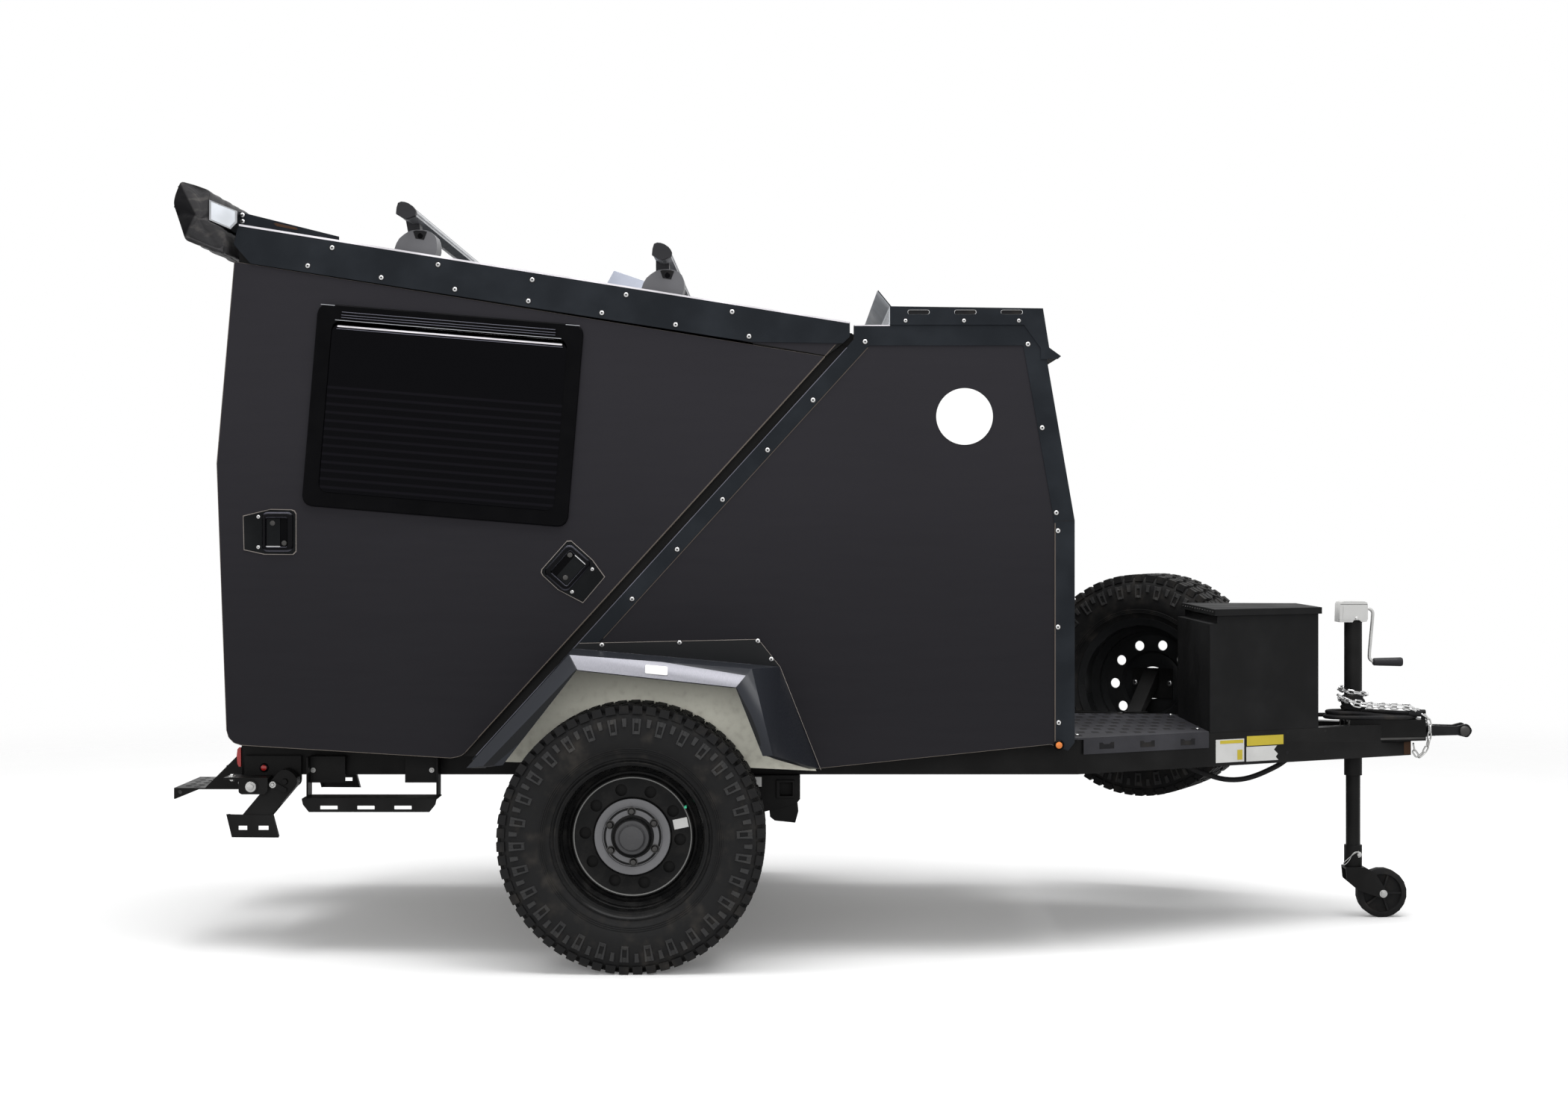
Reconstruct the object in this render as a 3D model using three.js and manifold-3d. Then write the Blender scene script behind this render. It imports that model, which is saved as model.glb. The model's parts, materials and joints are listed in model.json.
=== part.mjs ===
// Off-road travel trailer: a short wedge-shaped cabin on a steel ladder frame, with two top-hinged
// side hatches, a rear hatch, a storage box and spare wheel on the drawbar, and a jockey jack.
// Units are millimetres. X runs forward to the coupling, Y to the left, Z up; the ground is Z = 0.
// Stations along X are measured from the axle; the last lines move the origin to the middle of
// the footprint. Side pieces are drawn for the left side (y > 0) and mirrored for the right.
import * as THREE from 'three';
import { mergeVertices } from 'three/addons/utils/BufferGeometryUtils.js';
import Module from 'manifold-3d';

const wasm = await Module();
wasm.setup();

// ---------------------------------------------------------------- driving dimensions
const SEAT = 0.3; // gap between faces that touch
const RUN = 6; // gap round a piece that moves

const cabin = {
  halfWidth: 730, // outer skin
  wall: 28, // sandwich panel
  rearX: -1187, // rearmost point, at the rear kink
  frontX: 1238, // face of the front wall
  floorZ: 605,
  floorThick: 28,
  rearKinkZ: 1400,
  frontKinkZ: 1238,
  rearTopX: -1136,
  roofRearX: -1124,
  roofRearZ: 2075,
  roofFall: 0.16, // drop per unit length of the rear roof
  noseRoofX: 614, // where the level front roof starts
  noseRoofZ: 1790,
  noseRake: 0.173, // lean of the upper front wall
};
const hatch = { footX: -467, footZ: 600, slope: 1.1, hingeFall: 107 };
const gutter = { gap: 36, strip: 59 }; // measured along X, beside the hatch's slanting edge
const wheel = {
  radius: 367, width: 240, flange: 221, bead: 203,
  trackHalf: cabin.halfWidth + 130, // centre line to the middle of the tyre
};
const rail = {
  height: 100, width: 50, wall: 4, outerY: 580, rearX: -1150,
  tipX: 2378, // where the outer faces of the two rails meet; the tongue pieces follow it
};
const railTop = cabin.floorZ;
rail.bottomZ = railTop - rail.height;
const tongueHalfAngle = 27.5; // degrees
const jack = { x: rail.tipX - 182, tubeRadius: 27.5, legRadius: 22.5, topZ: 922, wheelRadius: 76, trail: 87 };
const windowSize = { width: 753, height: 573, tilt: -4.75, x: -546, z: 1535, frame: 46 };

const rad = THREE.MathUtils.degToRad;
const tongue = rad(tongueHalfAngle);

// ---------------------------------------------------------------- materials
const paint = (color, roughness, metalness) =>
  new THREE.MeshStandardMaterial({ color, roughness, metalness });
const finish = {
  panel: paint(0x3a383c, 0.55, 0.0),
  trim: paint(0x1c2024, 0.45, 0.3),
  steel: paint(0x1e1e20, 0.5, 0.4),
  bright: paint(0xd8dade, 0.35, 0.6),
  zinc: paint(0xb9babd, 0.35, 0.9),
  rubber: paint(0x1a1a1b, 0.85, 0.0),
  plastic: paint(0x141416, 0.35, 0.0),
  glass: paint(0x0a0b0d, 0.08, 0.0),
  vinyl: paint(0x17181a, 0.6, 0.0),
  grey: paint(0xc9ccd2, 0.5, 0.0),
  lining: paint(0x8a8880, 0.7, 0.0),
};

// ---------------------------------------------------------------- geometry helpers
const trailer = new THREE.Group();
trailer.name = 'travel_trailer';

function bare(geometry) {
  const copy = geometry.clone();
  copy.deleteAttribute('normal');
  copy.deleteAttribute('uv');
  return mergeVertices(copy, 1e-3);
}

function toSolid(geometry) {
  const merged = bare(geometry);
  return new wasm.Manifold(new wasm.Mesh({
    numProp: 3,
    vertProperties: new Float32Array(merged.attributes.position.array),
    triVerts: new Uint32Array(merged.index.array),
  }));
}

function toGeometry(solid) {
  const mesh = solid.getMesh();
  const geometry = new THREE.BufferGeometry();
  geometry.setAttribute('position', new THREE.BufferAttribute(mesh.vertProperties, 3));
  geometry.setIndex(new THREE.BufferAttribute(mesh.triVerts, 1));
  return geometry;
}

const join = (first, ...others) =>
  toGeometry(others.reduce((sum, piece) => sum.add(toSolid(piece)), toSolid(first)));
const cut = (first, ...tools) =>
  toGeometry(tools.reduce((rest, tool) => rest.subtract(toSolid(tool)), toSolid(first)));

function mirrored(geometry) {
  const copy = bare(geometry).scale(1, -1, 1);
  const index = copy.index.array;
  for (let i = 0; i < index.length; i += 3) [index[i], index[i + 1]] = [index[i + 1], index[i]];
  return copy;
}

function add(name, geometry, material) {
  geometry.computeVertexNormals();
  const mesh = new THREE.Mesh(geometry, material);
  mesh.name = name;
  trailer.add(mesh);
  return mesh;
}

function addPair(name, geometry, material) {
  add(`${name}_left`, geometry, material);
  add(`${name}_right`, mirrored(geometry), material);
}

// An outline is a list of [a, b] or [a, b, radius]; a radius rounds that corner with an arc,
// as large as its two edges leave room for.
function outline(corners, steps = 3) {
  const points = [];
  corners.forEach(([a, b, radius], i) => {
    const corner = new THREE.Vector2(a, b);
    if (!radius) {
      points.push(corner);
      return;
    }
    const before = new THREE.Vector2(...corners.at(i - 1).slice(0, 2)).sub(corner);
    const after = new THREE.Vector2(...corners[(i + 1) % corners.length].slice(0, 2)).sub(corner);
    const room = 0.48 * Math.min(before.length(), after.length());
    before.normalize();
    after.normalize();
    const half = Math.acos(THREE.MathUtils.clamp(before.dot(after), -1, 1)) / 2;
    const tangent = Math.min(room, radius / Math.tan(half));
    const reach = tangent / Math.cos(half);
    const centre = corner.clone().addScaledVector(before.clone().add(after).normalize(), reach);
    const from = corner.clone().addScaledVector(before, tangent).sub(centre);
    const to = corner.clone().addScaledVector(after, tangent).sub(centre);
    let sweep = to.angle() - from.angle();
    if (sweep > Math.PI) sweep -= 2 * Math.PI;
    if (sweep < -Math.PI) sweep += 2 * Math.PI;
    for (let k = 0; k <= steps; k++) {
      points.push(from.clone().rotateAround(new THREE.Vector2(), (sweep * k) / steps).add(centre));
    }
  });
  return new THREE.Shape(points);
}

const extrude = (shape, depth) =>
  new THREE.ExtrudeGeometry(shape, { depth, bevelEnabled: false, steps: 1 });
const asShape = (shape) => (shape instanceof THREE.Shape ? shape : outline(shape));

// Slabs: an outline in X-Z pushed along Y, or in X-Y pushed along Z.
const slabY = (shape, y0, y1) =>
  extrude(asShape(shape), y1 - y0).rotateX(Math.PI / 2).translate(0, y1, 0);
const slabZ = (shape, z0, z1) => extrude(asShape(shape), z1 - z0).translate(0, 0, z0);

const box = (x0, x1, y0, y1, z0, z1) =>
  new THREE.BoxGeometry(x1 - x0, y1 - y0, z1 - z0)
    .translate((x0 + x1) / 2, (y0 + y1) / 2, (z0 + z1) / 2);
const rodY = (radius, x, y0, y1, z, sides = 16) =>
  new THREE.CylinderGeometry(radius, radius, y1 - y0, sides).translate(x, (y0 + y1) / 2, z);
const rodX = (radius, x0, x1, y, z, sides = 16) =>
  new THREE.CylinderGeometry(radius, radius, x1 - x0, sides)
    .rotateZ(Math.PI / 2).translate((x0 + x1) / 2, y, z);
const rodZ = (radius, x, y, z0, z1, sides = 16) =>
  new THREE.CylinderGeometry(radius, radius, z1 - z0, sides)
    .rotateX(Math.PI / 2).translate(x, y, (z0 + z1) / 2);

// A solid of revolution about Y from [radius, y] pairs; a closed ring repeats its first pair.
function revolve(profile, sides) {
  const points = profile.map(([r, y]) => new THREE.Vector2(r, y));
  return outward(new THREE.LatheGeometry(points, sides, Math.PI / sides));
}

// Turns a closed mesh the right way out when its faces point inward.
function outward(geometry) {
  const merged = bare(geometry);
  const p = merged.attributes.position;
  const index = merged.index.array;
  const corner = (i) => new THREE.Vector3().fromBufferAttribute(p, index[i]);
  let volume = 0;
  for (let i = 0; i < index.length; i += 3) {
    volume += corner(i).dot(corner(i + 1).cross(corner(i + 2)));
  }
  if (volume < 0) {
    for (let i = 0; i < index.length; i += 3) [index[i], index[i + 1]] = [index[i + 1], index[i]];
  }
  return merged;
}

// A skin over rings of equal point counts, closed by a fan at each end.
function loft(rings) {
  const count = rings[0].length;
  const positions = rings.flat(2);
  const index = [];
  for (let r = 0; r + 1 < rings.length; r++) {
    for (let k = 0; k < count; k++) {
      const a = r * count + k;
      const b = r * count + ((k + 1) % count);
      index.push(a, b, b + count, a, b + count, a + count);
    }
  }
  const last = (rings.length - 1) * count;
  for (let k = 1; k + 1 < count; k++) {
    index.push(0, k + 1, k, last, last + k, last + k + 1);
  }
  const geometry = new THREE.BufferGeometry();
  geometry.setAttribute('position', new THREE.Float32BufferAttribute(positions, 3));
  geometry.setIndex(index);
  return outward(geometry);
}

// A cord's tube along a route of [x, y, z] points.
function tubeAlong(route, radius, steps, sides = 10) {
  const path = new THREE.CatmullRomCurve3(route.map((p) => new THREE.Vector3(...p)), false,
    'centripetal');
  const section = new THREE.Shape();
  section.absarc(0, 0, radius, 0, 2 * Math.PI);
  return outward(new THREE.ExtrudeGeometry(section, {
    steps, extrudePath: path, bevelEnabled: false, curveSegments: sides,
  }));
}

// ---------------------------------------------------------------- lines that pieces share
const roofTop = (x) => cabin.roofRearZ - cabin.roofFall * (x - cabin.roofRearX);
const hatchEdgeX = (z, offset = 0) => hatch.footX + (z - hatch.footZ) / hatch.slope + offset;
const noseX = (z) => cabin.frontX - Math.max(0, z - cabin.frontKinkZ) * cabin.noseRake;
const hingeZ = (x) => roofTop(x) - hatch.hingeFall;
const tailX = (z) => z > cabin.rearKinkZ
  ? THREE.MathUtils.mapLinear(z, cabin.rearKinkZ, 1981, cabin.rearX, cabin.rearTopX)
  : THREE.MathUtils.mapLinear(z, cabin.rearKinkZ, cabin.floorZ + 55, cabin.rearX, cabin.rearX + 27);
const inside = cabin.halfWidth - cabin.wall - SEAT; // inner faces of the side walls

// ---------------------------------------------------------------- chassis
const knee = {
  x: rail.tipX - rail.outerY / Math.tan(tongue) - (rail.width / 2) * Math.tan(tongue / 2),
  shift: (rail.width / 2) * Math.tan(tongue / 2),
};
const railInnerY = rail.outerY - rail.width;
const kneeStation = knee.x + knee.shift;
// The left rail's outer edge seen from above, or a line that far outside it.
const tongueEdgeY = (x, offset = 0) => x < kneeStation
  ? rail.outerY + offset
  : rail.outerY + offset / Math.cos(tongue) - (x - kneeStation) * Math.tan(tongue);

function railPlan(inset, overrun) {
  const outer = rail.outerY - inset;
  const inner = railInnerY + inset;
  const kneeX = knee.x - inset * Math.tan(tongue / 2);
  const innerKneeX = knee.x - 2 * knee.shift + inset * Math.tan(tongue / 2);
  const middle = SEAT / 2 - overrun;
  const toMiddle = (y) => (y - middle) / Math.tan(tongue);
  return [
    [rail.rearX - overrun, inner], [rail.rearX - overrun, outer],
    [kneeX + knee.shift, outer], [kneeX + knee.shift + toMiddle(outer), middle],
    [innerKneeX + knee.shift + toMiddle(inner), middle], [innerKneeX + knee.shift, inner],
  ];
}

const boxPlan = {
  rearX: rail.tipX - 693, frontX: rail.tipX - 328, farRearY: 235, farFrontY: 190, wall: 3,
};
const coupler = {
  rearX: rail.tipX - 207, frontX: rail.tipX + 32, halfWidth: 55,
  topZ: railTop + 15, bottomZ: railTop - 55, wall: 8,
};

function chassisRail() {
  const tube = slabZ(railPlan(0, 0), rail.bottomZ, railTop);
  const bore = slabZ(railPlan(rail.wall, 1), rail.bottomZ + rail.wall, railTop - rail.wall);
  const channelSpace = box(coupler.rearX - SEAT, coupler.frontX, -1, coupler.halfWidth + SEAT,
    coupler.bottomZ - SEAT, railTop + 1);
  const jackSpace = rodZ(jack.tubeRadius + SEAT, jack.x, 0, rail.bottomZ - 1, railTop + 1);
  return cut(tube, bore, channelSpace, jackSpace);
}
addPair('frame_rail', chassisRail(), finish.steel);

const crossmembers = [
  ['crossmember_rear', rail.rearX, -1095],
  ['crossmember_axle', 380, 450],
  ['crossmember_front', 1180, 1230],
];
for (const [name, x0, x1] of crossmembers) {
  const reach = Math.min(railInnerY, tongueEdgeY(x1, -rail.width)) - SEAT;
  add(name, box(x0, x1, -reach, reach, rail.bottomZ + 10, railTop), finish.steel);
}

// ---------------------------------------------------------------- suspension and wheels
const axle = { x: 0, z: wheel.radius, spindle: 30 };
const hubBackY = wheel.trackHalf - 40;
const pivot = { z: 430 };

function suspension() {
  const under = rail.bottomZ - SEAT;
  const hanger = slabY([
    [330, under], [330, 392], [452, 423], [463, 436], [463, under],
  ], 560, 600);
  const gusset = slabY([[372, 430], [455, 430], [458, 400], [449, 367], [390, 373], [376, 384]],
    565, 592);
  const tube = box(394, 447, 540, 608, rail.bottomZ - 66, rail.bottomZ - 14);
  const tubeHole = box(404, 441, 575, 609, rail.bottomZ - 59, rail.bottomZ - 20);
  const arm = slabY([
    [350, pivot.z + 35], [350, pivot.z - 45, 10], [axle.x - 45, axle.z - 38, 20],
    [axle.x - 45, axle.z + 38, 20], [axle.x + 60, axle.z + 42],
  ], 598, 655);
  const spindle = rodY(axle.spindle, axle.x, 640, hubBackY - SEAT, axle.z);
  const backing = rodY(140, axle.x, hubBackY - 30, hubBackY - 24, axle.z, 24);
  return join(cut(join(hanger, tube), tubeHole), gusset, arm, spindle, backing);
}
addPair('suspension', suspension(), finish.steel);

const wheelSides = 40;
const flatRadius = (radius, sides) => radius / Math.cos(Math.PI / sides);

function tyre(sides) {
  const r = flatRadius(wheel.radius, sides);
  const half = wheel.width / 2;
  const beadR = flatRadius(wheel.bead + 0.4, sides);
  const outside = [
    [beadR, 84], [224, 88], [240, 107], [290, half], [340, half - 4], [r, half - 30],
  ];
  const lining = [[beadR + 14, 74], [300, half - 15], [r - 22, half - 48]];
  const across = (points) => [...points, ...points.map(([a, y]) => [a, -y]).reverse()];
  const ring = [...across(outside), ...across(lining).reverse()];
  return revolve([...ring, ring[0]], sides);
}

// The rim's disc is pierced by a ring of vents and held by a ring of nuts.
const vent = { count: 10, circle: 131, radius: 16.5 };
const nut = { count: 6, circle: 69.85, radius: 11, phase: 32 };
function rim(sides, withHub, ventPhase) {
  const capFront = [[0, 78], [32, 78], [35, 64], [52, 58], [53, 36]];
  const hubBack = [[58, 27], [58, -40], [0, -40]];
  const profile = [
    ...(withHub ? capFront : [[54, 36]]),
    [84, 36], [104, 42], [112, 28], [150, 26], [166, 33], [175, 18], [197, 52], [197, 86],
    [wheel.flange, 97], [wheel.flange, 90], [wheel.bead, 86], [wheel.bead, 52], [182, 30],
    [182, -10], [wheel.bead, -32], [wheel.bead, -86], [wheel.flange, -90], [wheel.flange, -97],
    [197, -88], [197, -34], [175, -12], [175, 6], [160, 22], [108, 20], [100, 33], [84, 27],
    ...(withHub ? hubBack : [[54, 27], [54, 36]]),
  ];
  const vents = [];
  for (let k = 0; k < vent.count; k++) {
    const angle = rad(ventPhase + (360 / vent.count) * k);
    vents.push(rodY(vent.radius, vent.circle * Math.cos(angle), 10, 45,
      vent.circle * Math.sin(angle), 8));
  }
  const holed = cut(revolve(profile, sides), ...vents);
  if (!withHub) return holed;
  const nuts = [];
  for (let k = 0; k < nut.count; k++) {
    const angle = rad(nut.phase + (360 / nut.count) * k);
    nuts.push(rodY(nut.radius, nut.circle * Math.cos(angle), 30, 54,
      nut.circle * Math.sin(angle), 6));
  }
  return join(holed, ...nuts);
}

const axleShift = (geometry) => geometry.translate(axle.x, wheel.trackHalf, axle.z);
addPair('wheel_rim', axleShift(rim(20, true, -4)), finish.steel);
addPair('wheel_tyre', axleShift(tyre(wheelSides)), finish.rubber);

// ---------------------------------------------------------------- cabin shell
const floorTop = cabin.floorZ + SEAT + cabin.floorThick;
const ringIn = { y0: cabin.halfWidth - 60, y1: inside, foreshift: 130 }; // frame ring behind each side hatch
const frameInside = ringIn.y0 - SEAT;
const ringEndX = hatchEdgeX(floorTop, ringIn.foreshift) + 4;
function cabinFloor() {
  const x0 = cabin.rearX + 37;
  const x1 = noseX(700) - cabin.wall - SEAT;
  return slabZ([
    [x0, -frameInside], [ringEndX, -frameInside], [ringEndX, -inside], [x1, -inside],
    [x1, inside], [ringEndX, inside], [ringEndX, frameInside], [x0, frameInside],
  ], cabin.floorZ + SEAT, floorTop);
}
add('cabin_floor', cabinFloor(), finish.lining);

const wallTopZ = cabin.noseRoofZ;
const sideWallFoot = 560;
function sideWall() {
  const start = gutter.gap + 4;
  return slabY([
    [hatchEdgeX(sideWallFoot, start), sideWallFoot],
    [hatchEdgeX(wallTopZ - 60, start), wallTopZ - 60], [cabin.noseRoofX, wallTopZ - 45],
    [cabin.noseRoofX, wallTopZ], [noseX(wallTopZ), wallTopZ],
    [cabin.frontX, cabin.frontKinkZ], [cabin.frontX, 611], [cabin.frontX - 19, 588],
    [1170, 605], [515, 537], [307, 541],
  ], cabin.halfWidth - cabin.wall, cabin.halfWidth);
}
addPair('side_wall', sideWall(), finish.panel);

// Frame ring behind each side hatch: rear post, sill, slanting post and roof rail.
function sideFrame() {
  const roofUnder = (x) => roofTop(x) - cabin.wall - SEAT;
  const rearCornerX = tailX(2040) + 8;
  const frontCornerX = cabin.noseRoofX - 6;
  const outer = slabY([
    [tailX(630) + 8, 600, 40], [tailX(cabin.rearKinkZ) + 6, cabin.rearKinkZ],
    [rearCornerX, roofUnder(rearCornerX)], [frontCornerX, roofUnder(frontCornerX)],
    [cabin.noseRoofX + 70, roofUnder(frontCornerX) - 45],
    [hatchEdgeX(566, ringIn.foreshift), 566], [-488, 570, 30],
  ], ringIn.y0, ringIn.y1);
  const opening = slabY([
    [tailX(700) + 70, 690, 40], [tailX(cabin.rearKinkZ) + 70, cabin.rearKinkZ],
    [tailX(1900) + 75, hingeZ(-1060) - 50], [hatchEdgeX(hingeZ(430) - 50, -70), hingeZ(430) - 50],
    [hatchEdgeX(690, -75), 690, 30],
  ], ringIn.y0 - 1, ringIn.y1 + 1);
  const fillerFoot = (x) => hingeZ(x) + 1.5;
  const fillerTop = 1750;
  const filler = slabY([
    [324, fillerTop], [330, fillerFoot(330)], [hatchEdgeX(1704), fillerFoot(hatchEdgeX(1704))],
    [583, 1738], [583, fillerTop],
  ], ringIn.y1 - 1, cabin.halfWidth - SEAT);
  return join(cut(outer, opening), filler);
}
addPair('side_frame', sideFrame(), finish.steel);

const noseLean = Math.hypot(1, cabin.noseRake);
const frontWallTop = wallTopZ - cabin.wall - SEAT;
const innerNose = (z) => noseX(z) - cabin.wall * (z > cabin.frontKinkZ ? noseLean : 1);
add('front_wall', slabY([
  [cabin.frontX, cabin.floorZ + SEAT], [cabin.frontX, cabin.frontKinkZ],
  [noseX(frontWallTop), frontWallTop], [innerNose(frontWallTop), frontWallTop],
  [cabin.frontX - cabin.wall, cabin.frontKinkZ], [cabin.frontX - cabin.wall, cabin.floorZ + SEAT],
], -inside, inside), finish.panel);
add('roof_front', box(cabin.noseRoofX + 74, noseX(wallTopZ), -inside, inside,
  wallTopZ - cabin.wall, wallTopZ), finish.trim);

// Rear roof: a sloping panel with a deep folded edge down each side.
const skirt = { thick: 4, frontX: 603 };
const skirtY = cabin.halfWidth + SEAT;
function roofRear() {
  const top = [
    [cabin.roofRearX, cabin.roofRearZ], [skirt.frontX, roofTop(skirt.frontX)],
    [skirt.frontX, roofTop(skirt.frontX) - cabin.wall],
    [cabin.roofRearX, cabin.roofRearZ - cabin.wall],
  ];
  const flap = [
    [cabin.roofRearX, cabin.roofRearZ], [skirt.frontX, roofTop(skirt.frontX)],
    [skirt.frontX, 1757], [skirt.frontX - 20, 1738], [324, 1742],
    [-1090, hingeZ(-1090) + 1], [cabin.rearTopX - 1, 2018],
  ];
  const edge = skirtY + skirt.thick;
  const plate = slabY(top, -edge, edge);
  const skirts = [slabY(flap, skirtY, edge), slabY(flap, -edge, -skirtY)];
  return join(plate, ...skirts);
}
add('roof_rear', roofRear(), finish.trim);

// The rear hatch closes against these two.
const rearHatchZ = { low: 640, high: 1962 };
const hatchBack = (z) => tailX(z) + 2 + cabin.wall;
const header = { frontX: -1040, play: 3.56 }; // play under the roof panel
add('rear_header', box(hatchBack(rearHatchZ.high) + SEAT, header.frontX, -frameInside, frameInside,
  rearHatchZ.high - 17, roofTop(header.frontX) - cabin.wall - header.play), finish.steel);
add('rear_sill', box(hatchBack(rearHatchZ.low) + SEAT, -1070, -frameInside, frameInside,
  floorTop + SEAT, 690), finish.steel);

// Flat trim on the side wall: slanting strip, top strip and front strip in one piece.
const trimY = { y0: cabin.halfWidth + SEAT, y1: cabin.halfWidth + SEAT + 3 };
function sideTrim() {
  const in0 = gutter.gap;
  const in1 = gutter.gap + gutter.strip;
  const stripZ = wallTopZ - 58;
  return slabY([
    [hatchEdgeX(sideWallFoot + 2, in0), sideWallFoot + 2], [hatchEdgeX(stripZ, in0), stripZ],
    [cabin.noseRoofX, wallTopZ - 40], [cabin.noseRoofX, wallTopZ], [noseX(wallTopZ), wallTopZ],
    [cabin.frontX, cabin.frontKinkZ], [cabin.frontX, 611], [cabin.frontX - 19, 588],
    [1181, 602], [1181, cabin.frontKinkZ - 8], [noseX(stripZ) - 60, stripZ],
    [hatchEdgeX(stripZ, in1), stripZ], [hatchEdgeX(sideWallFoot + 2, in1), sideWallFoot + 2],
  ], trimY.y0, trimY.y1);
}
addPair('side_trim', sideTrim(), finish.trim);

// ---------------------------------------------------------------- side hatches
function tilted(geometry, centreX, centreZ, angle) {
  return geometry.translate(-centreX, 0, -centreZ).rotateY(-rad(angle))
    .translate(centreX, 0, centreZ);
}

function windowPlate(grow, radius, y0, y1, drop = 0) {
  const w = windowSize.width / 2 + grow;
  const h = windowSize.height / 2 + grow;
  const { x, z } = windowSize;
  const plate = slabY([
    [x - w, z - h, radius], [x - w, z + h - drop, radius],
    [x + w, z + h - drop, radius], [x + w, z - h, radius],
  ], y0, y1);
  return tilted(plate, x, z, windowSize.tilt);
}

// Paddle latch body: [centre x, centre z, turn in degrees].
const latches = [[-1038, 1202, 0], [-176, 1099, -42]];
const latchBody = ([x, z, turn]) => tilted(slabY([
  [x - 73, z - 50, 10], [x - 73, z + 50, 10], [x + 62, z + 50, 10], [x + 73, z + 38],
  [x + 73, z - 38], [x + 62, z - 50, 10],
], cabin.halfWidth - 6, cabin.halfWidth + 7), x, z, turn);

const hatchY = { y0: cabin.halfWidth - cabin.wall, y1: cabin.halfWidth };
function sideHatch() {
  const hingeEndZ = hingeZ(539);
  const panel = slabY([
    [tailX(810), 810], [cabin.rearX, cabin.rearKinkZ], [tailX(hingeZ(-1120)), hingeZ(-1137)],
    [hatchEdgeX(hingeEndZ), hingeEndZ], [hatchEdgeX(572), 572, 40], [-525, 566, 10],
    [-1158, 605, 45],
  ], hatchY.y0, hatchY.y1);
  const windowHole = windowPlate(-30, 30, hatchY.y0 - 1, hatchY.y1 + 1);
  return join(cut(panel, windowHole), ...latches.map(latchBody));
}
addPair('side_hatch', sideHatch(), finish.panel);

const frameY = { y0: hatchY.y1 + SEAT, y1: hatchY.y1 + 12 };
function windowFrame() {
  const rim = windowPlate(0, 28, frameY.y0, frameY.y1);
  const neck = windowPlate(-31, 30, hatchY.y0, frameY.y0 + 1);
  const hole = windowPlate(-windowSize.frame, 22, hatchY.y0 - 1, frameY.y1 + 1);
  return cut(join(rim, neck), hole);
}
addPair('window_frame', windowFrame(), finish.plastic);
addPair('window_pane', windowPlate(-windowSize.frame - 1, 21, hatchY.y1 - 2, hatchY.y1 + 9),
  finish.glass);

// ---------------------------------------------------------------- rear hatch
function rearHatch() {
  const { low, high } = rearHatchZ;
  const skinX = (z) => tailX(z) + 2;
  const t = cabin.wall;
  return slabY([
    [skinX(low), low], [skinX(cabin.rearKinkZ), cabin.rearKinkZ], [skinX(high), high],
    [skinX(high) + t, high - 4], [skinX(cabin.rearKinkZ) + t, cabin.rearKinkZ],
    [skinX(low) + t, low],
  ], -frameInside + RUN - 1, frameInside - RUN + 1);
}
add('rear_hatch', rearHatch(), finish.panel);

// ---------------------------------------------------------------- fenders
function fender() {
  const wallY = cabin.halfWidth + 4;
  const shoulderY = wheel.trackHalf + 115;
  const lipY = wheel.trackHalf + 140;
  const sheet = 4;
  const rows = [
    [wallY, [[-455, 562], [-181, 877], [407, 825], [515, 537]]],
    [shoulderY, [[-447, 564], [-168, 872], [330, 834], [399, 594]]],
    [lipY, [[-398, 572], [-147, 833], [288, 785], [387, 600]]],
  ];
  const outer = loft(rows.map(([y, ring]) => ring.map(([x, z]) => [x, y, z])));
  const shrink = ([x, z], k) => [
    x + [1.5, 0.6, -0.6, -1.5][k] * sheet, z + [-60, -sheet, -sheet, -60][k],
  ];
  const reach = [wallY - 1, shoulderY - 1, lipY + 1];
  const inner = loft(rows.map(([, ring], r) =>
    ring.map((p, k) => shrink(p, k)).map(([x, z]) => [x, reach[r], z])));
  const flange = slabY([
    [-181, 872], [-162, 892], [345, 903], [407, 825], [404, 820], [-176, 868],
  ], wallY, wallY + 3);
  return join(cut(outer, inner), flange);
}
addPair('fender', fender(), finish.bright);

// ---------------------------------------------------------------- side steps
function sideStep() {
  const x0 = -951;
  const x1 = -569;
  const fascia = slabY([
    [x0, 446], [x1, 446], [x1 - 3, 432], [x1 - 20, 411], [x0 + 20, 411], [x0 + 3, 432],
  ], 700, 704);
  const shelf = box(x0, x1, 600, 704, 446, 450);
  const slots = [-874, -769, -664].map((x) => box(x - 24.5, x + 24.5, 699, 705, 419, 429));
  const strap = (x) => box(x, x + 5, rail.outerY + SEAT, 640, 448, 560);
  const hanger = (from, to) => join(
    box(from, to, 600, 605, 484, 560), box(from, to, rail.outerY + SEAT, 601, 520, 560));
  return cut(join(fascia, shelf, strap(x0), strap(x1 - 10), hanger(x0 + 4, -846),
    hanger(-674, x1 - 6)), ...slots);
}
addPair('side_step', sideStep(), finish.steel);

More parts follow.
